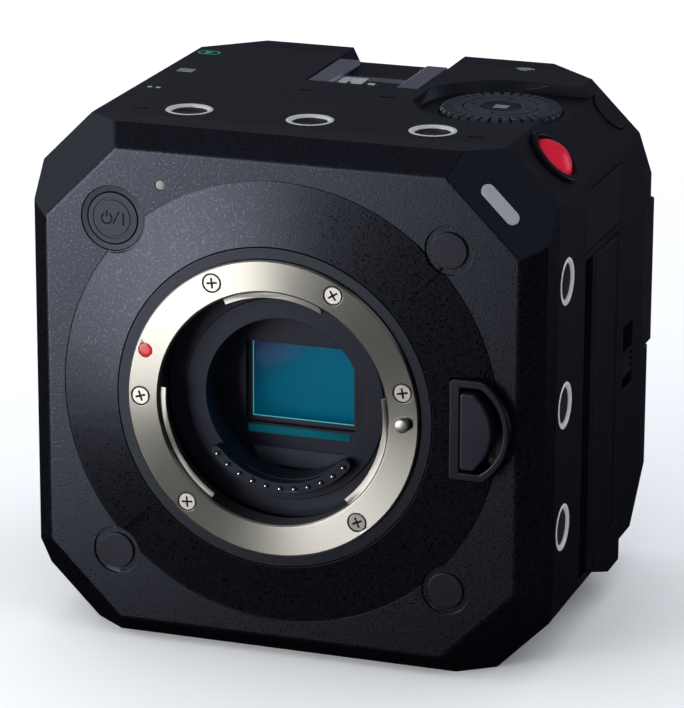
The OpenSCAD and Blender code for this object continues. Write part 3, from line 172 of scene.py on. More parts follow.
class Sheet(NodeDraft):
    """The node tree of one material."""

    def __init__(self, name: str) -> None:
        """Starts the material with its shader and output.

        Args:
            name: The material's name.
        """
        self.material = bpy.data.materials.new(name)
        self.material.use_nodes = True
        super().__init__(self.material.node_tree)
        self.tree.nodes.clear()
        self.shader = self.add("ShaderNodeBsdfPrincipled")
        self.add("ShaderNodeOutputMaterial", {"Surface": self.shader.outputs["BSDF"]})
        self.place = self.add("ShaderNodeTexCoord").outputs["Object"]

    def shade(self, **values: object) -> None:
        """Sets or links the shader's own inputs, their spaces written as underscores."""
        for name, value in values.items():
            self.put(self.shader.inputs[name.replace("_", " ")], value)

    def moved(self, centre: Sequence[float], stretch: Sequence[float]) -> Socket:
        """Gives the place, measured from a centre and stretched along each axis."""
        start = [-c * s for c, s in zip(centre, stretch)]
        return self.add("ShaderNodeMapping", {"Vector": self.place, "Scale": stretch, "Location": start}).outputs[0]

    def noise(self, grain_mm: float, detail: float = 2.0, rough: float = 0.5, place: Socket | None = None) -> Socket:
        """Gives noise whose blotches are about the given size across."""
        inputs = {"Vector": place or self.place, "Scale": 1 / (grain_mm * MM), "Detail": detail, "Roughness": rough}
        return self.add("ShaderNodeTexNoise", inputs).outputs["Fac"]

    def span(self, value: Socket, low: float, high: float, to_low: float = 0.0, to_high: float = 1.0) -> Socket:
        """Maps one range of a value to another, held at its ends."""
        inputs = {"Value": value, "From Min": low, "From Max": high, "To Min": to_low, "To Max": to_high}
        return self.add("ShaderNodeMapRange", inputs).outputs["Result"]

    def vary(self, pattern: Socket, middle: float, less: float, more: float) -> Socket:
        """Lets a number wander with a pattern, from a little less to a little more than its middle."""
        return self.span(pattern, *NOISE_RANGE, middle - less, middle + more)

    def mix(self, share: object, first: object, second: object) -> Socket:
        """Mixes two colours by a share."""
        return self.add("ShaderNodeMix", {0: share, 6: first, 7: second}, data_type="RGBA").outputs[2]

    def blend(self, pattern: Socket, first: Colour, second: Colour) -> Socket:
        """Lets a colour wander with a pattern, from the first to the second."""
        return self.mix(self.span(pattern, *NOISE_RANGE), first, second)

    def bump(self, height: Socket, depth_mm: float, strength: float = 1.0, under: Socket | None = None) -> Socket:
        """Gives the normal of a relief.

        Args:
            height: The relief, from 0 to 1.
            depth_mm: Its depth.
            strength: How much of it shows.
            under: The normal of a relief that lies under it.

        Returns:
            The normal.
        """
        inputs = {"Strength": strength, "Distance": depth_mm * MM, "Height": height}
        if under is not None:
            inputs["Normal"] = under
        return self.add("ShaderNodeBump", inputs).outputs["Normal"]


class Coating:
    """What every finish shares: a name and the making of its material."""

    name: str

    def build(self) -> bpy.types.Material:
        """Makes the material.

        Returns:
            The new material.
        """
        sheet = Sheet(self.name)
        self.fill(sheet)
        return sheet.material


@dataclass(frozen=True)
class SpeckledPaint(Coating):
    """Textured paint: a nearly black base with a fine grain and small smooth specks."""

    name: str
    base: Colour = (0.0024, 0.0025, 0.0044)
    speck: Colour = (0.0006, 0.0006, 0.0012)
    speck_mm: float = 0.38
    cover: float = 0.52
    cover_edge: float = 0.12
    grain_mm: float = 0.4
    grain_light: float = 1.7
    roughness: float = 0.385
    speck_polish: float = 0.12
    relief_mm: float = 0.02
    speck_dip_mm: float = 0.01
    specular: float = 0.5
    gleam: Colour = (0.74, 0.79, 1.0)

    def fill(self, sheet: Sheet) -> None:
        """Fills in the material.

        Args:
            sheet: The material's sheet.
        """
        blotch = sheet.noise(self.speck_mm, detail=1.5, rough=0.55)
        speck = sheet.span(blotch, self.cover, self.cover + self.cover_edge)
        grain = sheet.noise(self.grain_mm, rough=0.6)
        light = sheet.span(grain, 0.5, 0.68, 0.0, 0.7)
        tone = sheet.mix(light, self.base, scaled(self.base, self.grain_light))
        relief = sheet.bump(grain, self.relief_mm, 0.7)
        sheet.shade(
            Base_Color=sheet.mix(speck, tone, self.speck),
            Roughness=sheet.span(speck, 0.0, 1.0, self.roughness, self.roughness - self.speck_polish),
            Normal=sheet.bump(sheet.span(speck, 0.0, 1.0, 1.0, 0.0), self.speck_dip_mm, 0.6, relief),
            Specular_IOR_Level=self.specular,
            Specular_Tint=self.gleam,
        )


@dataclass(frozen=True)
class SatinPlastic(Coating):
    """Moulded or painted satin surface with a very fine grain."""

    name: str
    base: Colour
    roughness: float = 0.42
    grain_mm: float = 0.22
    relief_mm: float = 0.008
    specular: float = 0.4
    coat: float = 0.0
    vary: float = 0.18
    gleam: Colour = (0.8, 0.83, 1.0)
    cloud_mm: float = 9.0

    def fill(self, sheet: Sheet) -> None:
        """Fills in the material.

        Args:
            sheet: The material's sheet.
        """
        grain = sheet.noise(self.grain_mm, detail=1.5, rough=0.6)
        cloud = sheet.span(sheet.noise(self.cloud_mm), 0.35, 0.65)
        sheet.shade(
            Base_Color=sheet.mix(cloud, scaled(self.base, 1.0 - self.vary), scaled(self.base, 1.0 + self.vary)),
            Roughness=sheet.vary(grain, self.roughness, 0.05, 0.07),
            Normal=sheet.bump(grain, self.relief_mm),
            Specular_IOR_Level=self.specular,
            Specular_Tint=self.gleam,
            Coat_Weight=self.coat,
            Coat_Roughness=0.08,
        )


@dataclass(frozen=True)
class SatinMetal(Coating):
    """Machined or pressed metal with faint tool marks along one axis."""

    name: str
    base: Colour
    roughness: float = 0.3
    stretch: Triple = (1.0, 1.0, 1.0)
    relief_mm: float = 0.004
    grain_mm: float = 0.4
    metal: float = 1.0

    def fill(self, sheet: Sheet) -> None:
        """Fills in the material.

        Args:
            sheet: The material's sheet.
        """
        marks = sheet.noise(self.grain_mm, rough=0.6, place=sheet.moved((0, 0, 0), self.stretch))
        sheet.shade(
            Base_Color=sheet.blend(marks, scaled(self.base, 0.9), self.base),
            Metallic=self.metal,
            Roughness=sheet.vary(marks, self.roughness, 0.05, 0.06),
            Normal=sheet.bump(marks, self.relief_mm),
        )


@dataclass(frozen=True)
class LatheTurnedMetal(Coating):
    """Satin plated metal turned on a lathe, so that light fans out across its grooves."""

    name: str
    base: Colour = (0.43, 0.415, 0.375)
    roughness: float = 0.33
    groove_mm: float = 0.09
    groove_depth_mm: float = 0.0016
    fan: float = 0.86

    def fill(self, sheet: Sheet) -> None:
        """Fills in the material.

        Args:
            sheet: The material's sheet.
        """
        radial = sheet.moved((0.0, 0.0, HALF * MM), (1.0, 0.0, 1.0))
        reach = sheet.add("ShaderNodeVectorMath", {0: radial}, operation="LENGTH").outputs["Value"]
        groove = sheet.add("ShaderNodeTexNoise", {"W": reach, "Scale": 1 / (self.groove_mm * MM), "Detail": 2.0},
                           noise_dimensions="1D").outputs["Fac"]
        sheet.shade(
            Base_Color=sheet.blend(groove, scaled(self.base, 0.93), self.base),
            Metallic=1.0,
            Roughness=sheet.vary(groove, self.roughness, 0.03, 0.04),
            Anisotropic=self.fan,
            Tangent=sheet.add("ShaderNodeVectorMath", {0: radial}, operation="NORMALIZE").outputs["Vector"],
            Normal=sheet.bump(groove, self.groove_depth_mm, 0.6),
        )


@dataclass(frozen=True)
class SensorStack(Coating):
    """The dark mirror of an image sensor, teal with a purple tint at its upper left, and a painted glow that makes it
    shine though it is no lamp.
    """

    name: str
    teal: Colour = (0.0002, 0.068, 0.118)
    violet: Colour = (0.012, 0.012, 0.062)
    width: float = 18.9
    height: float = 13.8
    cells_per_m: float = 9000.0
    painted_glow: float = 0.5

    def fill(self, sheet: Sheet) -> None:
        """Fills in the material.

        Args:
            sheet: The material's sheet.
        """
        shares = sheet.moved((0.0, 0.0, HALF * MM), (1 / (self.width * MM), 1, 1 / (self.height * MM)))
        here = sheet.add("ShaderNodeSeparateXYZ", {0: shares}).outputs
        corner = sheet.add("ShaderNodeMath", {0: here["Z"], 1: here["X"]}, operation="SUBTRACT").outputs[0]
        cells = sheet.add("ShaderNodeTexVoronoi", {"Vector": sheet.place, "Scale": self.cells_per_m})
        colour = sheet.mix(sheet.span(corner, 0.25, 1.0, 0.0, 0.9), self.teal, self.violet)
        sheet.shade(
            Base_Color=colour,
            Roughness=sheet.span(cells.outputs["Distance"], 0.0, 0.6, 0.3, 0.36),
            Specular_IOR_Level=0.04,
            # The emission is a painted glow: the sensor shines though no lamp lights it.
            Emission_Color=colour,
            Emission_Strength=self.painted_glow,
        )


@dataclass(frozen=True)
class ClearGlass(Coating):
    """Thin coated glass that lets the piece behind it show."""

    name: str
    tint: Colour = (0.82, 0.97, 1.0)
    roughness: float = 0.02
    smear_mm: float = 3.0

    def fill(self, sheet: Sheet) -> None:
        """Fills in the material.

        Args:
            sheet: The material's sheet.
        """
        sheet.shade(
            Base_Color=self.tint,
            Roughness=sheet.vary(sheet.noise(self.smear_mm, detail=3.0), self.roughness, 0.0, 0.02),
            Transmission_Weight=1.0,
            IOR=1.3,
            Alpha=0.05,
        )


@dataclass(frozen=True)
class FrostedLens(Coating):
    """Milky plastic lens with a faint cloudiness."""

    name: str
    base: Colour
    roughness: float = 0.32
    painted_glow: float = 0.0
    cloud_mm: float = 0.6

    def fill(self, sheet: Sheet) -> None:
        """Fills in the material.

        Args:
            sheet: The material's sheet.
        """
        cloud = sheet.noise(self.cloud_mm)
        sheet.shade(
            Base_Color=sheet.blend(cloud, scaled(self.base, 0.88), self.base),
            Roughness=sheet.vary(cloud, self.roughness, 0.04, 0.06),
            Subsurface_Weight=0.35,
            Subsurface_Radius=(0.0012, 0.0012, 0.0012),
            Subsurface_Scale=1.0,
            Coat_Weight=0.3,
            # A non-zero painted_glow makes the lens glow like a lamp: painted light.
            Emission_Color=self.base,
            Emission_Strength=self.painted_glow,
        )


@dataclass(frozen=True)
class CircuitBoard(Coating):
    """Green solder mask with copper tracks, pads and small parts as colour."""

    name: str
    mask: Colour = (0.008, 0.055, 0.028)
    track: Colour = (0.03, 0.13, 0.06)
    pad: Colour = (0.42, 0.3, 0.12)
    cells_per_m: float = 420.0

    def fill(self, sheet: Sheet) -> None:
        """Fills in the material.

        Args:
            sheet: The material's sheet.
        """
        reach = sheet.add("ShaderNodeTexVoronoi", {"Vector": sheet.place, "Scale": self.cells_per_m},
                          distance="MANHATTAN", feature="F1").outputs["Distance"]
        folded = sheet.add("ShaderNodeMath", {0: reach, 1: 0.12}, operation="PINGPONG").outputs[0]
        lines = sheet.span(folded, 0.02, 0.04, 1.0, 0.0)
        pads = sheet.span(reach, 0.07, 0.1, 1.0, 0.0)
        sheet.shade(
            Base_Color=sheet.mix(pads, sheet.mix(lines, self.mask, self.track), self.pad),
            Metallic=sheet.span(pads, 0.0, 1.0, 0.0, 0.8),
            Roughness=sheet.span(lines, 0.0, 1.0, 0.38, 0.3),
            Normal=sheet.bump(lines, 0.03),
        )


@dataclass(frozen=True)
class StudioFloor(Coating):
    """Pale matt floor."""

    name: str = "studio_floor_paint"
    base: Colour = (0.97, 0.97, 0.97)
    drift_mm: float = 400.0

    def fill(self, sheet: Sheet) -> None:
        """Fills in the material.

        Args:
            sheet: The material's sheet.
        """
        sheet.shade(
            Base_Color=sheet.blend(sheet.noise(self.drift_mm), self.base, scaled(self.base, 0.985)),
            Roughness=0.8,
            Specular_IOR_Level=0.1,
        )


class Finish(Enum):
    """Every finish of the camera body."""

    FRONT_PAINT = SpeckledPaint("front_paint")
    TOP_PAINT = SatinPlastic("top_paint", (0.0046, 0.0054, 0.0092), 0.42, 0.3, 0.012)
    SIDE_PAINT = SatinPlastic("side_paint", (0.003, 0.003, 0.0062), 0.44, 0.3, 0.012)
    REAR_PAINT = SatinPlastic("rear_paint", (0.0046, 0.0048, 0.0082), 0.46, 0.3, 0.012)
    CHASSIS = SatinMetal("chassis_casting", (0.34, 0.35, 0.37), 0.45, grain_mm=0.8, relief_mm=0.02)
    MOUNT_BASE = SpeckledPaint("mount_base_paint", (0.0018, 0.0019, 0.0034), roughness=0.4, cover=0.58)
    BAYONET = LatheTurnedMetal("bayonet_nickel")
    MOUNT_SCREW = SatinMetal("mount_screw_steel", (0.66, 0.63, 0.58), 0.38, grain_mm=0.2)
    INDEX_RED = SatinPlastic("index_red", (0.42, 0.003, 0.006), 0.3, coat=0.3, vary=0.08, gleam=(1.0, 1.0, 1.0))
    LOCK_PIN = SatinMetal("lock_pin_steel", (0.6, 0.59, 0.56), 0.42)
    THROAT_BLACK = SatinPlastic("throat_black", (0.0036, 0.0044, 0.0098), 0.46, 0.15, 0.006, specular=0.4)
    CONTACT_GOLD = SatinMetal("contact_plating", (0.93, 0.9, 0.84), 0.22, grain_mm=0.1, relief_mm=0.001)
    SENSOR_FRAME = SatinPlastic("sensor_frame_black", (0.012, 0.012, 0.014), 0.42)
    SENSOR = SensorStack("sensor_teal")
    SENSOR_GLASS = ClearGlass("sensor_glass_clear")
    # A bright glowing cyan for the glass's polished edge: a painted highlight.
    GLASS_EDGE = FrostedLens("glass_edge_cyan", (0.1, 0.46, 0.55), 0.2, 0.3)
    # A teal streak on the baffle's floor: a painted reflection, not a part.
    FILTER_EDGE = SatinPlastic("filter_edge_teal", (0.001, 0.07, 0.095), 0.5, 0.3, 0.004, specular=0.05, vary=0.3)
    BAFFLE_BAR = SatinPlastic("baffle_bar_grey", (0.02, 0.021, 0.03), 0.5)
    BOARD = CircuitBoard("circuit_board")
    BUTTON = SatinPlastic("button_satin", (0.0056, 0.006, 0.0088), 0.38, 0.2, 0.006)
    COLLAR = SatinPlastic("collar_black", (0.0042, 0.0044, 0.0064), 0.34, 0.2, 0.004)
    # Dark print for marks, and painted shade in the screw gaps and microphone slots.
    DARK_MARK = SatinPlastic("dark_mark", (0.002, 0.002, 0.003), 0.6, specular=0.2)
    LAMP = FrostedLens("status_lamp_lens", (0.13, 0.135, 0.095), 0.3)
    TALLY = FrostedLens("tally_lens", (0.27, 0.27, 0.3))
    RELEASE = SatinPlastic("release_black", (0.007, 0.0072, 0.0125), 0.36, 0.2, 0.005)
    RECORD = SatinPlastic("record_crimson", (0.62, 0.001, 0.026), 0.34, 0.8, 0.002, coat=0.2, vary=0.1,
                          gleam=(1.0, 0.6, 0.7))
    DIAL = SatinPlastic("dial_black", (0.02, 0.0205, 0.028), 0.34, 0.2, 0.006, specular=0.8)
    BUSH = SatinMetal("bush_steel", (0.5, 0.5, 0.5), 0.35)
    SHOE = SatinMetal("shoe_anodised", (0.7, 0.68, 0.76), 0.45, (1.0, 0.15, 1.0), 0.006, 0.3)
    # Dark bores: painted shade for the inside of the threaded inserts.
    INSERT_DARK = SatinMetal("insert_bore_dark", (0.05, 0.05, 0.05), 0.45, grain_mm=0.3, metal=0.3)
    SPRING = SatinMetal("spring_steel", (0.78, 0.78, 0.8), 0.35, (1.0, 0.1, 1.0), metal=0.6)
    INSERT = SatinMetal("insert_steel", (0.74, 0.74, 0.72), 0.42, grain_mm=0.3, metal=0.4)
    RUBBER = SatinPlastic("soft_rubber", (0.0048, 0.005, 0.0072), 0.58, 0.35, 0.012, specular=0.35)
    SOCKET_BLACK = SatinPlastic("socket_black", (0.006, 0.006, 0.007), 0.42)
    NICKEL = SatinMetal("connector_nickel", (0.6, 0.6, 0.6), 0.36, metal=0.5)
    SINK = SatinMetal("heat_sink_anodised", (0.42, 0.43, 0.45), 0.45, (1.0, 1.0, 0.1), 0.01, 0.6)
    FAN = SatinPlastic("fan_black", (0.005, 0.005, 0.006), 0.4)
    SCREW_BLACK = SatinMetal("screw_black", (0.06, 0.06, 0.065), 0.35)
    WHITE_MARK = SatinPlastic("white_mark", (0.3, 0.31, 0.33), 0.6, vary=0.05)
    GREEN_MARK = SatinPlastic("green_mark", (0.03, 0.32, 0.14), 0.6, vary=0.05)


@cache
def coat(finish: Finish) -> bpy.types.Material:
    """Makes the material of a finish once and hands it out."""
    return finish.value.build()


class Shape:
    """A mesh drawn in a piece's own millimetres, with local Z pointing out of the body."""

    def __init__(self) -> None:
        """Starts an empty mesh."""
        self.bm = bmesh.new()

    def lathe(self, profile: Profile, steps: int = 64, closed: bool = True) -> "Shape":
        """Turns a profile of radius and height about the local Z axis.

        Args:
            profile: Pairs of radius and height. A radius of nought is a pole.
            steps: Number of facets round the axis.
            closed: Whether the last point joins the first.

        Returns:
            The shape itself.
        """
        rings = []
        for radius, z in profile:
            count = 1 if radius < 1e-6 else steps
            turns = (math.tau * i / steps for i in range(count))
            rings.append([self.bm.verts.new((radius * math.cos(a), radius * math.sin(a), z)) for a in turns])
        for lower, upper in zip(rings, rings[1:] + (rings[:1] if closed else [])):
            for i in range(steps):
                corners = [lower[i % len(lower)], lower[(i + 1) % len(lower)],
                           upper[(i + 1) % len(upper)], upper[i % len(upper)]]
                unique = list(dict.fromkeys(corners))
                if len(unique) > 2:
                    self.bm.faces.new(unique)
        return self

    def sweep(self, sections: Sequence[Sequence[Vector]]) -> "Shape":
        """Skins a row of closed sections and caps both ends.

        Args:
            sections: The sections' points, as many in each.

        Returns:
            The shape itself.
        """
        rings = [[self.bm.verts.new(p) for p in section] for section in sections]
        self.bm.faces.new(list(reversed(rings[0])))
        self.bm.faces.new(rings[-1])
        return self.skin(rings)

    def skin(self, rings: Sequence[Sequence[bmesh.types.BMVert]]) -> "Shape":
        """Joins each ring of corners to the next.

        Args:
            rings: The rings, with as many corners in each.

        Returns:
            The shape itself.
        """
        for first, second in zip(rings, rings[1:]):
            for i in range(len(first)):
                j = (i + 1) % len(first)
                self.bm.faces.new((first[i], first[j], second[j], second[i]))
        return self

    def prism(self, outline: Profile, low: float, high: float) -> "Shape":
        """Raises an outline drawn in local X and Y from one height to another."""
        return self.sweep([[Vector((x, y, z)) for x, y in outline] for z in (low, high)])

    def band(self, outer: Profile, inner: Profile, low: float, high: float) -> "Shape":
        """Raises the band between two outlines with the same number of points.

        Args:
            outer: The outer outline.
            inner: The inner outline.
            low: The band's foot.
            high: The band's top.

        Returns:
            The shape itself.
        """
        rings = [[self.bm.verts.new((x, y, z)) for x, y in line]
                 for line, z in ((outer, low), (outer, high), (inner, high), (inner, low))]
        return self.skin(rings + rings[:1])

    def strip(self, x0: float, x1: float, line: Profile, thick: float) -> "Shape":
        """Lays a strip between two places in X, along a line of Y and Z, with its thickness in Z."""
        return self.sweep([[Vector((x, y, z + up)) for x, up in ((x0, 0), (x1, 0), (x1, thick), (x0, thick))]
                           for y, z in line])

    def thread(self, root: float, crest: float, pitch: float, low: float, high: float, steps: int = 40) -> "Shape":
        """Winds a screw thread inside a bore, fading out at both ends.

        Args:
            root: Radius of the bore.
            crest: Radius at the thread's tip.
            pitch: Height of one turn.
            low: Where the thread starts.
            high: Where it ends.
            steps: Number of facets in a turn.

        Returns:
            The shape itself.
        """
        count = int((high - low) / pitch * steps)
        fade, embed = 12, 0.03
        sections = []
        for k in range(count + 1):
            angle = math.tau * k / steps
            out = Vector((math.cos(angle), math.sin(angle), 0))
            tip = root + (crest - root) * min(1.0, k / fade, (count - k) / fade)
            sections.append([out * radius + Vector((0, 0, low + pitch * (k / steps + share))) for radius, share in
                             ((root + embed, -0.46), (tip, -0.07), (tip, 0.07), (root + embed, 0.46))])
        return self.sweep(sections)

    def done(self, name: str, finish: Finish, place: Matrix | None = None) -> Piece:
        """Turns the drawing into an object at the origin with its place in its mesh.

        Args:
            name: The piece's name.
            finish: What it is made of.
            place: The matrix from local millimetres to the shared frame, or None to leave it local.

        Returns:
            The new object.
        """
        bmesh.ops.remove_doubles(self.bm, verts=self.bm.verts, dist=1e-5)
        bmesh.ops.recalc_face_normals(self.bm, faces=self.bm.faces)
        mesh = bpy.data.meshes.new(name)
        self.bm.to_mesh(mesh)
        self.bm.free()
        if place is not None:
            mesh.transform(place)
        return as_piece(name, mesh, coat(finish))


def as_piece(name: str, mesh: bpy.types.Mesh, material: bpy.types.Material, smooth: float = SMOOTH_ANGLE) -> Piece:
    """Links a mesh as an object.

    Args:
        name: The object's name.
        mesh: Its mesh.
        material: Its only material.
        smooth: Faces that meet below this angle are shaded as one.

    Returns:
        The object.
    """
    mesh.materials.clear()
    mesh.materials.append(material)
    mesh.polygons.foreach_set("use_smooth", [True] * len(mesh.polygons))
    mesh.set_sharp_from_angle(angle=math.radians(smooth))
    piece = bpy.data.objects.new(name, mesh)
    bpy.context.scene.collection.objects.link(piece)
    return piece


def plain(piece: Piece, material: bpy.types.Material, place: Matrix | None = None) -> Piece:
    """Replaces a piece that has modifiers by its plain result.

    Args:
        piece: The object with live modifiers, which is removed.
        material: What the result is made of.
        place: A matrix applied to the result's mesh.

    Returns:
        The plain object, under the same name.
    """
    bpy.context.view_layer.update()
    depsgraph = bpy.context.evaluated_depsgraph_get()
    mesh = bpy.data.meshes.new_from_object(piece.evaluated_get(depsgraph), preserve_all_data_layers=True,
                                           depsgraph=depsgraph)
    name = piece.name
    bpy.data.objects.remove(piece)
    if place is not None:
        mesh.transform(place)
    mesh.name = name
    return as_piece(name, mesh, material)


def bevelled(piece: Piece, width_mm: float, segments: int = 2, angle: float | None = EDGE_ANGLE) -> Piece:
    """Rounds a piece's sharp edges and keeps its flats flat.

    Args:
        piece: The piece.
        width_mm: Width of the rounding.
        segments: Number of facets in the rounding.
        angle: Edges sharper than this are rounded, or None to go by the edges' weights.

    Returns:
        The piece itself.
    """
    rounding = piece.modifiers.new("edge_rounding", "BEVEL")
    rounding.width = width_mm * MM
    rounding.segments = segments
    rounding.limit_method = "WEIGHT" if angle is None else "ANGLE"
    rounding.angle_limit = math.radians(angle or EDGE_ANGLE)
    rounding.use_clamp_overlap = False
    rounding.harden_normals = True
    return piece


def cut(piece: Piece, cutter: Piece) -> Piece:
    """Takes a cutter's shape out of a piece.

    Args:
        piece: The piece, which is replaced by the result.
        cutter: The cutter, which is removed.

    Returns:
        The result.
    """
    knife = piece.modifiers.new("cut", "BOOLEAN")
    knife.operation = "DIFFERENCE"
    knife.object = cutter
    knife.solver = "EXACT"
    result = plain(piece, piece.data.materials[0])
    bpy.data.objects.remove(cutter)
    return result


def polar(radius: float, degrees: float, at: tuple[float, float] = (0.0, 0.0)) -> tuple[float, float]:
    """Gives the point at a radius and an angle from a centre."""
    return at[0] + radius * math.cos(math.radians(degrees)), at[1] + radius * math.sin(math.radians(degrees))


def arc(radius: float, start: float, end: float, steps: int, at: tuple[float, float] = (0.0, 0.0)) -> Outline:
    """Gives points along an arc, in degrees."""
    return [polar(radius, start + (end - start) * i / steps, at) for i in range(steps + 1)]


def pill(length: float, width: float, steps: int = 16) -> Outline:
    """Gives the outline of a slot with round ends, its length along X."""
    reach = (length - width) / 2
    return arc(width / 2, -90, 90, steps, (reach, 0)) + arc(width / 2, 90, 270, steps, (-reach, 0))


def cross(length: float, width: float) -> Outline:
    """Gives the outline of an even cross.

    Args:
        length: From the end of one arm to the end of the other.
        width: Width of an arm.

    Returns:
        The outline's points.
    """
    end, side = length / 2, width / 2
    arm = [(end, -side), (end, side), (side, side)]
    outline = []
    for _ in range(4):
        outline += arm
        arm = [(-y, x) for x, y in arm]
    return outline


def box(x0: float, x1: float, y0: float, y1: float) -> Outline:
    """Gives the outline of a rectangle."""
    return [(x0, y0), (x1, y0), (x1, y1), (x0, y1)]


class Repeat(NodeDraft):
    """A Geometry Nodes tree that sets one item at every place it is given."""

    kinds = {int: "NodeSocketInt", float: "NodeSocketFloat", tuple: "NodeSocketVector"}

    def __init__(self, name: str, **sizes: int | float | Triple) -> None:
        """Starts the tree with its named inputs.

        Args:
            name: The tree's name.
            sizes: The tree's own inputs and their values.
        """
        super().__init__(bpy.data.node_groups.new(name, "GeometryNodeTree"))
        self.sizes = sizes
        sockets = self.tree.interface
        sockets.new_socket("Geometry", in_out="OUTPUT", socket_type="NodeSocketGeometry")
        kinds = {"Geometry": "NodeSocketGeometry", "Item": "NodeSocketObject", "Finish": "NodeSocketMaterial"}
        kinds |= {key: self.kinds[type(value)] for key, value in sizes.items()}
        self.ids = {key: sockets.new_socket(key, in_out="INPUT", socket_type=kind).identifier
                    for key, kind in kinds.items()}
        self.given = self.add("NodeGroupInput").outputs

    def place_items(self, points: Socket, lean: object) -> None:
        """Sets the item at each point and ends the tree.

        Args:
            points: The points.
            lean: The turn of the item at each point.
        """
        item = self.add("GeometryNodeObjectInfo", {"Object": self.given["Item"]})
        rows = self.add("GeometryNodeInstanceOnPoints",
                        {"Points": points, "Instance": item.outputs["Geometry"], "Rotation": lean})
        real = self.add("GeometryNodeRealizeInstances", {"Geometry": rows.outputs["Instances"]})
        coated = self.add("GeometryNodeSetMaterial",
                          {"Geometry": real.outputs["Geometry"], "Material": self.given["Finish"]})
        self.add("NodeGroupOutput", {"Geometry": coated.outputs["Geometry"]})

    def run(self, name: str, item: Piece, place: Matrix, base: bpy.types.Mesh | None = None) -> Piece:
        """Runs the tree and gives its result as a plain mesh.

        Args:
            name: The piece's name.
            item: The object that is repeated, which is removed.
            place: The matrix from local millimetres to the shared frame.
            base: The mesh whose points are the places, where the tree needs one.

        Returns:
            The plain object.
        """
        holder = bpy.data.objects.new(name, base or bpy.data.meshes.new(name + "_base"))
        bpy.context.scene.collection.objects.link(holder)
        modifier = holder.modifiers.new("repeat", "NODES")
        modifier.node_group = self.tree
        material = item.data.materials[0]
        for key, value in {**self.sizes, "Item": item, "Finish": material}.items():
            modifier[self.ids[key]] = value
        result = plain(holder, material, place)
        bpy.data.objects.remove(item)
        return result


def along_arc(name: str, item: Piece, place: Matrix, count: int, radius: float, start: float, step: float) -> Piece:
    """Repeats an item along an arc about local Z.

    Args:
        name: The piece's name.
        item: The object that is repeated, which is removed.
        place: The matrix from local millimetres to the shared frame.
        count: Number of items.
        radius: Radius of the arc.
        start: Angle of the first item in degrees.
        step: Angle between neighbours in degrees.

    Returns:
        The plain object.
    """
    tree = Repeat(name + "_arc", Count=count, Radius=radius, Start=math.radians(start), Step=math.radians(step))
    row = tree.add("GeometryNodeMeshLine", {"Count": tree.given["Count"], "Offset": (0.0, 0.0, 0.0)})
    index = tree.add("GeometryNodeInputIndex")
    turned = tree.add("ShaderNodeMath", {0: index.outputs[0], 1: tree.given["Step"], 2: tree.given["Start"]},
                      operation="MULTIPLY_ADD")
    ends = []
    for operation in ("COSINE", "SINE"):
        ratio = tree.add("ShaderNodeMath", {0: turned.outputs[0]}, operation=operation)
        ends.append(tree.add("ShaderNodeMath", {0: ratio.outputs[0], 1: tree.given["Radius"]}, operation="MULTIPLY"))
    spot = tree.add("ShaderNodeCombineXYZ", {"X": ends[0].outputs[0], "Y": ends[1].outputs[0]})
    moved = tree.add("GeometryNodeSetPosition", {"Geometry": row.outputs["Mesh"], "Position": spot.outputs[0]})
    lean = tree.add("ShaderNodeCombineXYZ", {"Z": turned.outputs[0]})
    tree.place_items(moved.outputs["Geometry"], lean.outputs[0])
    return tree.run(name, item, place)


def in_row(name: str, item: Piece, place: Matrix, count: int, start: Triple, pitch: Triple) -> Piece:
    """Repeats an item in a straight row.

    Args:
        name: The piece's name.
        item: The object that is repeated, which is removed.
        place: The matrix from local millimetres to the shared frame.
        count: Number of items.
        start: The first item's place.
        pitch: The step from one item to the next.

    Returns:
        The plain object.
    """
    tree = Repeat(name + "_row", Count=count, Start=start, Pitch=pitch)
    row = tree.add("GeometryNodeMeshLine", {"Count": tree.given["Count"], "Start Location": tree.given["Start"],
                                            "Offset": tree.given["Pitch"]})
    tree.place_items(row.outputs["Mesh"], (0.0, 0.0, 0.0))
    return tree.run(name, item, place)


def at_spots(name: str, item: Piece, place: Matrix, spots: Sequence[tuple[Triple, Triple]]) -> Piece:
    """Repeats an item at spots, each with a turn of its own.

    Args:
        name: The piece's name.
        item: The object that is repeated, which is removed.
        place: The matrix from local millimetres to the shared frame.
        spots: Each spot and its turn as Euler angles.

    Returns:
        The plain object.
    """
    tree = Repeat(name + "_spots")
    points = tree.add("GeometryNodeMeshToPoints", {"Mesh": tree.given["Geometry"]})
    lean = tree.add("GeometryNodeInputNamedAttribute", {"Name": "turn"}, data_type="FLOAT_VECTOR")
    tree.place_items(points.outputs["Points"], lean.outputs["Attribute"])
    base = bpy.data.meshes.new(name + "_base")
    base.from_pydata([spot for spot, _ in spots], [], [])
    turns = base.attributes.new("turn", "FLOAT_VECTOR", "POINT")
    for i, (_, angles) in enumerate(spots):
        turns.data[i].vector = angles
    return tree.run(name, item, place, base)


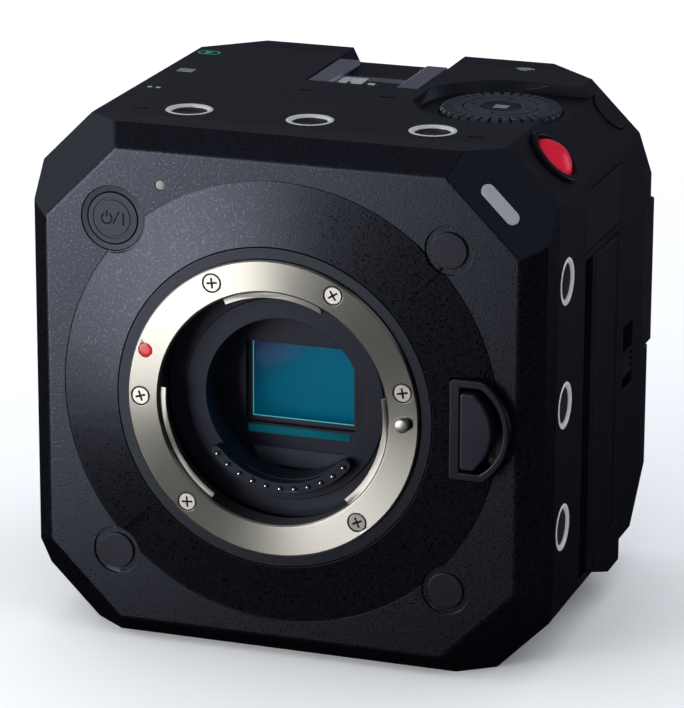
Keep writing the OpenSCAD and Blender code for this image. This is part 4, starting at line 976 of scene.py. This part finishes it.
class Bench:
    """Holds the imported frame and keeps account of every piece."""

    def __init__(self, frame: dict) -> None:
        """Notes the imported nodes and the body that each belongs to."""
        self.nodes = frame["nodes"]
        self.body = {n: o["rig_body"] for n, o in self.nodes.items()}

    def keep(self, finish: Finish, *nodes: str) -> None:
        """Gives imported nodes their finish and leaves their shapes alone.

        Args:
            finish: What they are made of.
            nodes: The nodes' names.
        """
        for node in nodes:
            slots = self.nodes[node].data.materials
            slots.clear()
            slots.append(coat(finish))
            LOG.info("kept %s as %s", node, finish.name.lower())

    def soften(self, node: str, finish: Finish, slot: str, width_mm: float, segments: int = 2,
               angle: float = EDGE_ANGLE, weigh: Callable[[bmesh.types.BMEdge], float] | None = None,
               smooth: float = SMOOTH_ANGLE, merge: bool = True) -> None:
        """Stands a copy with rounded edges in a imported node's place.

        Args:
            node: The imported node.
            finish: What it is made of.
            slot: The record's material slot.
            width_mm: Width of the rounding.
            segments: Number of facets in the rounding.
            angle: Edges sharper than this are rounded.
            weigh: Gives an edge's share of the width, where it isn't the same for all.
            smooth: Faces that meet below this angle are shaded as one.
            merge: Whether flat triangles are first joined to one face.
        """
        drawing = bmesh.new()
        drawing.from_mesh(self.nodes[node].data)
        bmesh.ops.remove_doubles(drawing, verts=drawing.verts, dist=WELD_M)
        if merge:
            bmesh.ops.dissolve_limit(drawing, angle_limit=math.radians(FLAT_ANGLE), verts=drawing.verts,
                                     edges=drawing.edges)
        if weigh:
            share = drawing.edges.layers.float.new("bevel_weight_edge")
            for edge in drawing.edges:
                sharp = len(edge.link_faces) == 2 and edge.calc_face_angle(0.0) > math.radians(angle)
                edge[share] = weigh(edge) if sharp else 0.0
        name = node + "_edged"
        mesh = bpy.data.meshes.new(name)
        drawing.to_mesh(mesh)
        drawing.free()
        piece = as_piece(name, mesh, coat(finish), smooth)
        self.join(bevelled(piece, width_mm, segments, None if weigh else angle), node, slot, node)

    def join(self, piece: Piece, near: str, slot: str | None = None, *replaced: str) -> None:
        """Lets a piece ride with the body of a node.

        Args:
            piece: The finished piece.
            near: The node whose body carries it.
            slot: The record's material slot, if it has one; not used.
            replaced: The nodes that it stands for.
        """
        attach(piece, self.body[near])
        if replaced:
            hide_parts(*replaced)
        LOG.info("%s rides on %s", piece.name, self.body[near])


@dataclass
class Casing:
    """The six painted covers with softened edges."""

    bench: Bench
    front_edge: float = 0.5
    small_share: float = 0.14
    outer_reach: float = 38.0
    outer_depth: float = 2.0
    long_edge: float = 5.0
    groove: tuple[float, float] = (38.9, 40.3)
    covers: tuple[tuple[str, Finish, str, float, bool], ...] = (
        ("top_cover", Finish.TOP_PAINT, "casing_top", 0.14, True),
        ("left_side_cover", Finish.SIDE_PAINT, "casing_left", 0.14, True),
        ("right_side_cover", Finish.SIDE_PAINT, "casing_right", 0.14, True),
        ("bottom_cover", Finish.REAR_PAINT, "casing_bottom", 0.14, True),
        ("rear_cover", Finish.REAR_PAINT, "casing_rear", 0.1, False),
    )

    def build(self) -> None:
        """Rounds the covers' edges, lays painted shade in the microphone slots and adds the label marks."""
        self.bench.soften("front_casing", Finish.FRONT_PAINT, "casing_front", self.front_edge, segments=4, angle=20.0,
                          weigh=self.front_share, smooth=14.0)
        for node, finish, slot, width, merge in self.covers:
            self.bench.soften(node, finish, slot, width, smooth=8.0, merge=merge)
        self.bench.keep(Finish.CHASSIS, "main_chassis")
        self.bench.keep(Finish.SCREW_BLACK, "casing_screws")
        self.microphones()
        self.marks()

    def front_share(self, edge: bmesh.types.BMEdge) -> float:
        """Gives the share of the front's rounding that one of its edges takes.

        Args:
            edge: A sharp edge of the front casing.

        Returns:
            The whole width on the long outer edges, none on the groove and little on the rest.
        """
        ends = [ROW.inverted() @ v.co for v in edge.verts]
        if self.groove[0] < max(math.hypot(p.x, p.z) for p in ends) < self.groove[1]:
            return 0.0
        outer = (min(max(abs(p.x), abs(p.z)) for p in ends) > self.outer_reach
                 and min(p.y for p in ends) < self.outer_depth)
        return 1.0 if outer and edge.calc_length() > self.long_edge * MM else self.small_share

    def microphones(self) -> None:
        """Lays a dark sheet as painted shade in the two microphone slots in front of the shoe."""
        slot = Shape().prism(pill(3.05, 0.85), -1.2, -0.9).done("slot_item", Finish.DARK_MARK)
        row = in_row("microphone_slots", slot, seat(Face.TOP, 0, 36.2, HALF), 2, (-7.6, 0.0, 0.0), (15.2, 0.0, 0.0))
        self.bench.join(row, "top_cover")

    def marks(self) -> None:
        """Prints plain marks beside the buttons and the threads on top."""
        bar = Shape().prism(box(-1.5, 1.5, -0.16, 0.16), *PRINTED)
        dot = Shape().lathe([(0, PRINTED[0]), (0.45, PRINTED[0]), (0.45, PRINTED[1]), (0, PRINTED[1])], 20, False)
        play = Shape().prism([(-0.7, -0.9), (0.9, 0.0), (-0.7, 0.9)], *PRINTED)
        play.band(pill(4.2, 2.8), pill(3.7, 2.3), *PRINTED)
        squares = Shape().prism(box(-1.5, -0.2, -0.45, 0.45), *PRINTED).prism(box(0.2, 1.5, -0.45, 0.45), *PRINTED)
        waves = Shape()
        for radius in (0.8, 1.6, 2.4):
            waves.prism(arc(radius + 0.16, 45, 135, 12) + arc(radius - 0.16, 135, 45, 12), *PRINTED)
        for name, mark, finish, x, y, row in (
            ("quick_menu_mark", bar, Finish.WHITE_MARK, -33.2, 43, (3, (0.0, -0.9, 0.0), (0.0, 0.9, 0.0))),
            ("function_mark", dot, Finish.WHITE_MARK, -33.9, 29, (2, (-0.8, 0.0, 0.0), (1.6, 0.0, 0.0))),
            ("playback_mark", play, Finish.GREEN_MARK, -34.3, 57.5, None),
            ("thread_marks", squares, Finish.DARK_MARK, 0, 14, (2, (-30.4, 0.0, 0.0), (60.8, 0.0, 0.0))),
            ("network_mark", waves, Finish.WHITE_MARK, 24, 63, None),
        ):
            place = seat(Face.TOP, x, y, HALF)
            if row:
                piece = in_row(name, mark.done(name + "_item", finish), place, *row)
            else:
                piece = mark.done(name, finish, place)
            self.bench.join(piece, "top_cover")


@dataclass
class LensMount:
    """The bayonet with its screws, index dot, lock pin and sprung contacts."""

    bench: Bench
    screw_circle: float = 24.1
    screw_angles: tuple[float, ...] = (116.7, 62.9, 13.3, -50.1, -130.4, 180.0)
    screw_turns: tuple[float, ...] = (8.0, 31.0, 12.0, 24.0, 5.0, 18.0)
    head_r: float = 1.54
    counterbore_r: float = 1.69
    shank_r: float = 0.82
    index_circle: float = 24.55
    index_angle: float = 160.2
    lock_circle: float = 23.65
    pin_circle: float = 15.5
    pin_count: int = 11
    pin_step: float = 9.6
    pin_r: float = 0.35
    pin_tip: float = -0.2
    pin_back: float = -2.05

    def build(self) -> None:
        """Makes every piece of the mount."""
        for node, finish, slot, width in (
            ("mount_base_ring", Finish.MOUNT_BASE, "mount_base", 0.12),
            ("bayonet_ring", Finish.BAYONET, "bayonet", 0.07),
            ("contact_block", Finish.THROAT_BLACK, "contact_black", 0.08),
            ("light_baffle", Finish.THROAT_BLACK, "baffle_black", 0.12),
        ):
            self.bench.soften(node, finish, slot, width)
        self.index()
        self.lock_pin()
        self.screws()
        self.contacts()

    def index(self) -> None:
        """Makes the red index dot with a slightly crowned face."""
        profile = [(0, -0.55), (1.22, -0.55), (1.22, -0.06), (1.1, -0.015), (0.7, 0.0), (0, 0.0)]
        x, z = polar(self.index_circle, self.index_angle)
        dot = Shape().lathe(profile, 40, False).done("index_dot_enamel", Finish.INDEX_RED,
                                                     seat(Face.FRONT, x, FLANGE_Y, z))
        self.bench.join(dot, "index_dot", "index_red", "index_dot")

    def lock_pin(self) -> None:
        """Makes the lock pin with its rounded tip."""
        profile = [(0, -4.8), (1.19, -4.8), (1.19, 0.98), (1.12, 1.13), (0.98, 1.2), (0, 1.2)]
        pin = Shape().lathe(profile, 40, False).done("lock_pin_turned", Finish.LOCK_PIN,
                                                     seat(Face.FRONT, self.lock_circle, FLANGE_Y, 0))
        self.bench.join(pin, "lens_lock_pin", "lock_pin", "lens_lock_pin")

    def screws(self) -> None:
        """Repeats one cross-head screw at the mount's screw holes, with a dark ring in the gap round its head and a
        dark cross in its recess as painted shade.
        """
        head = self.head_r
        screw = Shape().lathe([(0, -0.5), (head, -0.5), (head, -0.1), (head - 0.12, 0.0), (0, 0.0)], 40, False)
        screw.lathe([(0, -4.9), (self.shank_r, -4.9), (self.shank_r, -0.45), (0, -0.45)], 24, False)
        blade = Shape().prism(cross(1.9, 0.36), -0.34, 0.4).done("blade", Finish.DARK_MARK)
        item = cut(screw.done("screw_item", Finish.MOUNT_SCREW), blade)
        # A dark ring in the gap and a dark cross on the recess's floor: painted shade.
        gap_shade = Shape().lathe([(head + 0.01, -0.45), (self.counterbore_r, -0.45), (self.counterbore_r, -0.1),
                             (head + 0.01, -0.1)], 40)
        gap_shade.prism(cross(1.88, 0.34), -0.33, -0.2)
        place = seat(Face.FRONT, 0, FLANGE_Y, 0)
        spots = [((*polar(self.screw_circle, a), 0.0), (0.0, 0.0, math.radians(t)))
                 for a, t in zip(self.screw_angles, self.screw_turns)]
        self.bench.join(at_spots("mount_screws_cross", item, place, spots), "mount_screws", "mount_screw",
                        "mount_screws")
        self.bench.join(at_spots("mount_screw_gaps", gap_shade.done("gap_item", Finish.DARK_MARK), place, spots),
                        "mount_screws", "mount_screw")

    def contacts(self) -> None:
        """Repeats the sprung pins with their round tips."""
        r = self.pin_r
        tip = [(r * math.cos(a), self.pin_tip - r + r * math.sin(a)) for a in (0.0, 0.4, 0.8, 1.2)]
        profile = [(0, self.pin_back), (r, self.pin_back), *tip, (0, self.pin_tip)]
        pin = Shape().lathe(profile, 20, False).done("pin_item", Finish.CONTACT_GOLD)
        start = -90 - (self.pin_count - 1) / 2 * self.pin_step
        pins = along_arc("contact_pins_round", pin, seat(Face.FRONT, 0, 0, 0), self.pin_count, self.pin_circle, start,
                         self.pin_step)
        self.bench.join(pins, "contact_pins", "contact_gold", "contact_pins")


@dataclass
class SensorUnit:
    """Sensor, cover glass and frame behind the mount."""

    bench: Bench
    window: tuple[float, float] = (18.9, 13.8)
    glass_face: float = 13.0
    glass_line: float = 0.16
    baffle_floor: float = 11.2

    def build(self) -> None:
        """Makes the sensor's pieces."""
        self.bench.soften("sensor_frame", Finish.SENSOR_FRAME, "sensor_frame", 0.12)
        self.bench.keep(Finish.SENSOR, "image_sensor")
        self.bench.keep(Finish.SENSOR_GLASS, "sensor_cover_glass")
        self.bench.keep(Finish.BOARD, "sensor_board")
        self.edge()
        self.baffle_parts()

    def baffle_parts(self) -> None:
        """Lays a thin teal strip, a painted reflection, and the grey bar on the baffle's floor, below the sensor."""
        place = seat(Face.FRONT, 0, self.baffle_floor, 0)
        # The teal strip is a painted reflection below the sensor.
        strip = Shape().prism(box(-9.6, 9.2, -9.3, -7.9), 0.0, 0.05)
        self.bench.join(strip.done("filter_edge_strip", Finish.FILTER_EDGE, place), "light_baffle")
        bar = Shape().prism([(-8.6, -11.7), (-7.4, -14.9), (8.8, -14.9), (9.6, -11.7)], 0.0, 0.35)
        self.bench.join(bar.done("baffle_lower_bar", Finish.BAFFLE_BAR, place), "light_baffle")

    def edge(self) -> None:
        """Draws the polished edge of the cover glass as a fine bright cyan line that glows: a painted highlight."""
        w, h = (side / 2 for side in self.window)
        v, g = w - self.glass_line, h - self.glass_line
        line = Shape().band(box(-w, w, -h, h), box(-v, v, -g, g), -0.12, 0.01)
        self.bench.join(line.done("sensor_glass_edge", Finish.GLASS_EDGE, seat(Face.FRONT, 0, self.glass_face, 0)),
                        "sensor_cover_glass")


@dataclass
class FrontControls:
    """Power button, corner caps, lamps and the lens release."""

    bench: Bench
    corner: tuple[float, float] = (30.3, 30.25)
    release_size: Triple = (5.5, 13.6, 8.6)
    release_corner: float = 0.6
    bezel_small: float = 0.3
    bezel_depth: float = 2.0
    bezel_reach: float = 8.0

    def build(self) -> None:
        """Makes the controls on the front."""
        self.bench.soften("power_button", Finish.BUTTON, "power_button", 0.05)
        self.power_collar()
        self.bench.soften("screw_caps", Finish.BUTTON, "screw_cap", 0.2)
        self.status_lamp()
        self.bench.soften("release_bezel", Finish.MOUNT_BASE, "release_bezel", 1.1, 4, weigh=self.bezel_share)
        self.release()
        self.bench.soften("tally_lamp_lens", Finish.TALLY, "tally_lamp", 0.12)
        self.power_mark()

    def status_lamp(self) -> None:
        """Turns the status lamp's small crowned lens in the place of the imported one."""
        low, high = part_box("status_lamp_lens")
        r, face, back = (high[0] - low[0]) / 2 / MM, rise(low[1]), rise(high[1])
        profile = [(0, back), (r, back), (r, face - 0.12), (r - 0.1, face - 0.03), (r * 0.6, face - 0.005), (0, face)]
        place = seat(Face.FRONT, (low[0] + high[0]) / 2 / MM, 0, (low[2] + high[2]) / 2 / MM - HALF)
        lens = Shape().lathe(profile, 40, False).done("status_lamp_turned", Finish.LAMP, place)
        self.bench.join(lens, "status_lamp_lens", "status_lamp", "status_lamp_lens")

    def bezel_share(self, edge: bmesh.types.BMEdge) -> float:
        """Gives the share of the release bezel's rounding that one of its edges takes.

        Args:
            edge: A sharp edge of the bezel.

        Returns:
            The whole width on the upright outer corners and a third of it elsewhere.
        """
        ends = [ROW.inverted() @ v.co for v in edge.verts]
        upright = abs(ends[0].y - ends[1].y) > self.bezel_depth
        return 1.0 if upright and min(abs(p.z) for p in ends) > self.bezel_reach else self.bezel_small

    def power_collar(self) -> None:
        """Turns the power button's collar, a satin ring that lies a little below the front."""
        x, z = self.corner
        back = rise(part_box("power_button_collar")[1][1])
        profile = [(4.66, -0.36), (4.66, back), (5.74, back), (5.74, -0.28), (5.66, -0.22), (4.76, -0.27)]
        collar = Shape().lathe(profile, 72).done("power_collar_turned", Finish.BUTTON, seat(Face.FRONT, -x, 0, z))
        self.bench.join(collar, "power_button_collar", "power_collar", "power_button_collar")

    def release(self) -> None:
        """Moulds the lens release button as a flat key with one bowed side."""
        width, tall, bow = self.release_size
        r, top = self.release_corner, tall / 2
        reach = math.degrees(math.asin((top - 0.7) / bow))
        hub = (width - bow, 0.0)
        foot = bow * math.cos(math.radians(reach)) + hub[0] - 0.55
        outline = (arc(r, 180, 270, 5, (r, r - top)) + [(foot, -top)] + arc(bow, -reach, reach, 28, hub)
                   + [(foot, top)] + arc(r, 90, 180, 5, (r, top - r)))
        low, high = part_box("lens_release_button")
        place = seat(Face.FRONT, low[0] / MM, 0, (low[2] + high[2]) / 2 / MM - HALF)
        key = Shape().prism(outline, rise(high[1]), rise(low[1])).done("release_key", Finish.RELEASE, place)
        self.bench.join(bevelled(key, 0.35, 3), "lens_release_button", "release_button", "lens_release_button")

    def power_mark(self) -> None:
        """Prints the plain standby sign, a slash and a bar on the power button."""
        x, z = self.corner
        hub = (-1.1, -0.12)
        sign = Shape()
        for outline in (
            arc(1.08, -240, 60, 28, hub) + arc(0.8, 60, -240, 28, hub),
            box(-1.24, -0.96, 0.16, 1.33),
            [(-0.06, -1.09), (0.22, -1.09), (1.32, 1.25), (1.04, 1.25)],
            box(1.83, 2.11, -1.17, 1.09),
        ):
            sign.prism(outline, 0.0, 0.02)
        self.bench.join(sign.done("power_sign", Finish.DARK_MARK, seat(Face.FRONT, -x, 0.2, z)), "power_button")


@dataclass
class TopControls:
    """Dial, shoe, record button and the buttons on the chamfers."""

    bench: Bench
    dial_x: float = 27.0
    dial_y: float = 40.0
    dial_top: float = 45.6
    tick_circle: float = 5.1
    dome_r: float = 4.2
    dome_curve: float = 4.875
    dome_top: float = 2.4
    record_y: float = 22.0
    leaf_x: float = 8.05
    leaf_half: float = 1.1
    leaf_floor: float = 43.4
    ground_leaves: tuple[tuple[float, float, float, float, float], ...] = (
        (-6.1, -4.5, 47.2, 53.0, 45.3), (-3.6, -1.6, 47.2, 53.0, 45.3), (-4.6, -3.5, 49.6, 53.0, 45.3),
        (-0.8, 0.4, 48.4, 51.0, 45.0), (3.4, 4.8, 48.0, 49.8, 44.9),
    )

    def build(self) -> None:
        """Makes the controls on top and on the chamfers."""
        self.dial()
        self.bench.keep(Finish.BUSH, "dial_bush")
        self.bench.soften("menu_button", Finish.BUTTON, "menu_button", 0.15)
        self.bench.soften("record_button_collar", Finish.COLLAR, "record_collar", 0.25, 3)
        self.record()
        for node in ("side_function_button", "function_button", "quick_menu_button", "playback_button"):
            self.bench.soften(node, Finish.BUTTON, "chamfer_button", 0.15)
        self.shoe()

    def dial(self) -> None:
        """Rounds the slotted dial's edges and prints its ticks and the menu button's bars."""
        self.bench.soften("control_dial", Finish.DIAL, "dial", 0.07)
        tick = Shape().prism(box(-0.45, 0.45, -0.2, 0.2), -0.02, 0.02).done("tick_item", Finish.DARK_MARK)
        place = seat(Face.TOP, self.dial_x, self.dial_y, self.dial_top)
        ticks = along_arc("control_dial_ticks", tick, place, 4, self.tick_circle, 0, 90)
        self.bench.join(ticks, "control_dial", "dial")
        bar = Shape().prism(box(-1.3, 1.3, -0.15, 0.15), *PRINTED).done("menu_bar_item", Finish.WHITE_MARK)
        place = seat(Face.TOP, self.dial_x, self.dial_y, self.dial_top - 0.1)
        bars = in_row("menu_button_mark", bar, place, 3, (0.0, -0.8, 0.0), (0.0, 0.8, 0.0))
        self.bench.join(bars, "menu_button")

    def record(self) -> None:
        """Makes the glossy domed record button."""
        curve, foot = self.dome_curve, self.dome_top - self.dome_curve
        dome = [(curve * math.sin(a), foot + curve * math.cos(a))
                for a in map(math.radians, (59.4, 54, 46, 38, 30, 22, 14, 7))]
        profile = [(0, -2.15), (4.55, -2.15), (4.55, -1.55), (self.dome_r, -1.55), (self.dome_r, -0.08), *dome,
                   (0, self.dome_top)]
        place = seat(Face.RIGHT_CHAMFER, CHAMFER_MID, self.record_y, CHAMFER_MID)
        button = Shape().lathe(profile, 64, False).done("record_button_dome", Finish.RECORD, place)
        self.bench.join(button, "record_button", "record_red", "record_button")

    def shoe(self) -> None:
        """Makes the accessory shoe with its leaf springs, ground leaves and contacts."""
        self.bench.soften("hot_shoe", Finish.SHOE, "shoe_steel", 0.1)
        self.bench.keep(Finish.SOCKET_BLACK, "shoe_contact_plate")
        self.bench.keep(Finish.CONTACT_GOLD, "shoe_contacts")
        leaf = Shape()
        for x in (-self.leaf_x, self.leaf_x):
            leaf.strip(x - self.leaf_half, x + self.leaf_half,
                       [(47.0, 0.0), (48.5, 0.1), (51.5, 0.26), (55.0, 0.28), (58.0, 0.1), (59.0, 0.0)], 0.2)
        self.bench.join(leaf.done("shoe_leaf_springs", Finish.SPRING, seat(Face.TOP, 0, 0, self.leaf_floor)),
                        "shoe_springs", "shoe_spring", "shoe_springs")
        ground, foot = Shape(), self.leaf_floor + 0.05
        for x0, x1, y0, y1, top in self.ground_leaves:
            ground.strip(x0, x1, [(y0, foot), (y0 + 0.5, top - 0.25), (y0 + 0.8, top), (y1 - 0.8, top),
                                  (y1 - 0.5, top - 0.25), (y1, foot)], 0.16)
        self.bench.join(ground.done("shoe_ground_leaf", Finish.SPRING, seat(Face.TOP, 0, 0, 0)), "hot_shoe",
                        "shoe_steel")


@dataclass
class Threads:
    """Steel inserts with real screw threads."""

    bench: Bench
    bore: float = 3.2
    crest: float = 2.68
    pitch: float = 1.27
    depth: float = 9.0

    def build(self) -> None:
        """Repeats one threaded insert at all eleven places."""
        outer = self.bore + 0.95
        profile = [(self.bore, -self.depth), (outer, -self.depth), (outer, -0.06), (outer - 0.1, 0.0), (3.55, 0.0),
                   (3.38, -0.12), (3.25, -0.3), (self.bore, -0.4)]
        sleeve = Shape().lathe(profile, 48)
        root, back, mouth, drilled = self.bore - 0.01, 0.05 - self.depth, -0.45, -7.5
        wall = root - 0.1
        profile = [(0, back), (root, back), (root, mouth), (wall, mouth), (wall, drilled), (0, drilled)]
        bore = Shape().lathe(profile, 48, False)
        bore.thread(wall, self.crest, self.pitch, drilled + 0.3, mouth - 0.6)
        spots = []
        for i in (-1, 0, 1):
            for face, spot in ((Face.TOP, (i * THREAD_PITCH, THREAD_Y, HALF)),
                               (Face.RIGHT, (HALF, THREAD_Y, i * THREAD_PITCH)),
                               (Face.LEFT, (-HALF, THREAD_Y, i * THREAD_PITCH))):
                spots.append((spot, tuple(turn(face).to_euler())))
        for y in (THREAD_Y, THREAD_Y + THREAD_PITCH):
            spots.append(((0.0, y, -HALF), tuple(turn(Face.BOTTOM).to_euler())))
        for name, item, finish, replaced in (
            ("thread_insert_sleeves", sleeve, Finish.INSERT, ("thread_inserts",)),
            # The bores' dark finish is painted shade inside the threads.
            ("thread_insert_bores", bore, Finish.INSERT_DARK, ()),
        ):
            self.bench.join(at_spots(name, item.done(name + "_item", finish), ROW, spots), "thread_inserts",
                            "insert_steel", *replaced)


@dataclass
class RightSide:
    """Card door, its lock, the vent and the audio cover."""

    bench: Bench
    vent: tuple[float, float, float, float] = (27.3, 31.9, -36.0, 22.6)
    slats: int = 19

    def build(self) -> None:
        """Makes the right side's pieces."""
        self.bench.soften("card_door", Finish.SIDE_PAINT, "card_door", 0.14)
        self.bench.keep(Finish.SCREW_BLACK, "card_door_pin")
        self.bench.soften("card_door_lock", Finish.BUTTON, "door_lock", 0.12)
        self.bench.keep(Finish.SOCKET_BLACK, "card_slots")
        self.bench.soften("audio_cover", Finish.RUBBER, "audio_cover", 0.14)
        self.bench.keep(Finish.SOCKET_BLACK, "audio_sockets")
        self.louvre()

    def louvre(self) -> None:
        """Repeats the slats behind the vent slot."""
        y0, y1, z0, z1 = self.vent
        step = (z1 - z0) / self.slats
        blade = ((-0.45, -2.6), (0.05, -2.6), (0.75, -1.7), (0.25, -1.7))
        slat = Shape().sweep([[Vector((y, up, out)) for up, out in blade] for y in (y0 + 0.05, y1 - 0.05)])
        slats = in_row("vent_louvre", slat.done("slat_item", Finish.FAN), seat(Face.RIGHT, HALF, 0, 0), self.slats,
                       (0.0, z0 + step / 2, 0.0), (0.0, step, 0.0))
        self.bench.join(slats, "right_side_cover")


@dataclass
class RearPanel:
    """Battery bay, connectors and the socket cover."""

    bench: Bench

    def build(self) -> None:
        """Makes the rear's pieces."""
        for node, finish, slot, width in (
            ("battery_plate", Finish.SOCKET_BLACK, "battery_plate", 0.2),
            ("battery_terminals", Finish.SOCKET_BLACK, "battery_terminal", 0.1),
            ("battery_release", Finish.BUTTON, "battery_release", 0.15),
            ("video_connectors", Finish.NICKEL, "video_connector", 0.12),
            ("network_socket", Finish.NICKEL, "network_shell", 0.15),
            ("power_socket", Finish.SOCKET_BLACK, "power_socket", 0.15),
            ("rear_socket_cover", Finish.RUBBER, "rear_cover_rubber", 0.25),
        ):
            self.bench.soften(node, finish, slot, width)
        self.bench.keep(Finish.NICKEL, "hdmi_socket", "usb_socket")


@dataclass
class Inside:
    """Board, heat sink and fan, which show through the grille and the bays."""

    bench: Bench

    def build(self) -> None:
        """Gives the inner pieces their finishes."""
        self.bench.keep(Finish.BOARD, "main_board")
        self.bench.keep(Finish.SINK, "heat_sink")
        self.bench.keep(Finish.FAN, "fan_housing")
        self.bench.soften("fan_rotor", Finish.FAN, "fan_rotor", 0.1)


@dataclass
class Studio:
    """Pale floor, soft lights and the camera at the photograph's angle."""

    yaw: float = 19.02
    pitch: float = 17.31
    roll: float = 0.21
    distance: float = 729.38
    target: Triple = (-0.57, 35.0, -1.27)
    focal_px: float = 4066.82
    long_side_px: int = 708
    sensor_mm: float = 36.0
    floor_reach: float = 6.0
    floor_drop: float = 0.00002
    sky_colour: Colour = (0.93, 0.96, 1.0)
    sky_strength: float = 0.9
    lights: tuple[tuple[str, Triple, tuple[float, float], float, Colour], ...] = (
        ("key_softbox", (-0.256, -0.367, 0.059), (0.26, 0.3), 1.8, (1.0, 1.0, 1.0)),
        ("left_card", (-0.564, 0.0, 0.245), (0.5, 0.5), 0.42, (0.86, 0.9, 1.0)),
        ("top_card", (-0.27, -0.2, 0.88), (0.9, 0.9), 0.4, (0.8, 0.85, 1.0)),
        ("right_card", (0.52, -0.34, 0.57), (0.5, 0.5), 0.28, (0.8, 0.84, 1.0)),
        ("back_card", (-0.28, 0.78, 0.31), (1.2, 0.8), 0.38, (0.74, 0.8, 1.0)),
        ("rear_right_softbox", (0.6, 0.5, 0.16), (0.4, 0.5), 0.85, (0.76, 0.78, 1.0)),
        ("rear_left_softbox", (-0.62, 0.62, 0.1), (0.4, 0.4), 1.0, (0.86, 0.9, 1.0)),
        ("rear_low_card", (-0.3, 0.7, 0.048), (0.6, 0.08), 1.2, (0.9, 0.93, 1.0)),
    )

    def build(self) -> None:
        """Sets the floor, the lights, the sky and the camera."""
        self.floor()
        self.sky()
        for name, place, size, power, colour in self.lights:
            self.light(name, place, size, power, colour)
        self.camera()

    def floor(self) -> None:
        """Lays a wide pale floor under the body."""
        r = self.floor_reach
        mesh = bpy.data.meshes.new("studio_floor")
        mesh.from_pydata([(x, y, 0) for x, y in box(-r, r, -r, r)], [], [(0, 1, 2, 3)])
        mesh.materials.append(StudioFloor().build())
        floor = bpy.data.objects.new("studio_floor", mesh)
        floor.location.z = -self.floor_drop
        bpy.context.scene.collection.objects.link(floor)
        floor.visible_glossy = False

    def sky(self) -> None:
        """Gives the room an even light that polished faces don't mirror."""
        world = bpy.data.worlds.new("studio_room")
        world.use_nodes = True
        background = world.node_tree.nodes["Background"].inputs
        background["Color"].default_value = (*self.sky_colour, 1.0)
        background["Strength"].default_value = self.sky_strength
        world.cycles_visibility.glossy = False
        bpy.context.scene.world = world

    def light(self, name: str, place: Triple, size: tuple[float, float], power: float, colour: Colour) -> None:
        """Hangs one soft light that faces the body's middle.

        Args:
            name: The light's name.
            place: Where it hangs, in metres of the shared frame.
            size: Its width and height in metres.
            power: Its power in watts.
            colour: Its colour.
        """
        lamp = bpy.data.lights.new(name, "AREA")
        lamp.shape = "RECTANGLE"
        lamp.size, lamp.size_y = size
        lamp.energy = power
        lamp.color = colour
        holder = bpy.data.objects.new(name, lamp)
        holder.location = place
        holder.rotation_euler = (Vector((0, 0, HALF * MM)) - Vector(place)).to_track_quat("-Z", "Y").to_euler()
        holder.visible_camera = False
        bpy.context.scene.collection.objects.link(holder)

    def camera(self) -> None:
        """Places the camera where the photograph was taken from."""
        y, t, r = (math.radians(a) for a in (self.yaw, self.pitch, self.roll))
        back = Vector((math.sin(y) * math.cos(t), -math.cos(y) * math.cos(t), math.sin(t)))
        right = Vector((math.cos(y), math.sin(y), 0))
        up = back.cross(right)
        right, up = right * math.cos(r) + up * math.sin(r), up * math.cos(r) - right * math.sin(r)
        lens = bpy.data.cameras.new("photo_camera")
        lens.sensor_width = self.sensor_mm
        lens.lens = self.focal_px / self.long_side_px * self.sensor_mm
        lens.clip_start, lens.clip_end = 0.01, 50.0
        camera = bpy.data.objects.new("photo_camera", lens)
        spot = ROW @ (Vector(self.target) + back * self.distance)
        camera.matrix_world = Matrix.Translation(spot) @ Matrix((right, up, back)).transposed().to_4x4()
        bpy.context.scene.collection.objects.link(camera)
        bpy.context.scene.camera = camera


def main() -> None:
    """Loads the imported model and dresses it."""
    logging.basicConfig(level=logging.INFO, format="%(message)s")
    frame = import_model()
    bpy.context.scene.view_settings.view_transform = "Standard"
    bench = Bench(frame)
    for part in (Casing, LensMount, SensorUnit, FrontControls, TopControls, Threads, RightSide, RearPanel, Inside):
        part(bench).build()
    Studio().build()


if __name__ == "__main__":
    main()
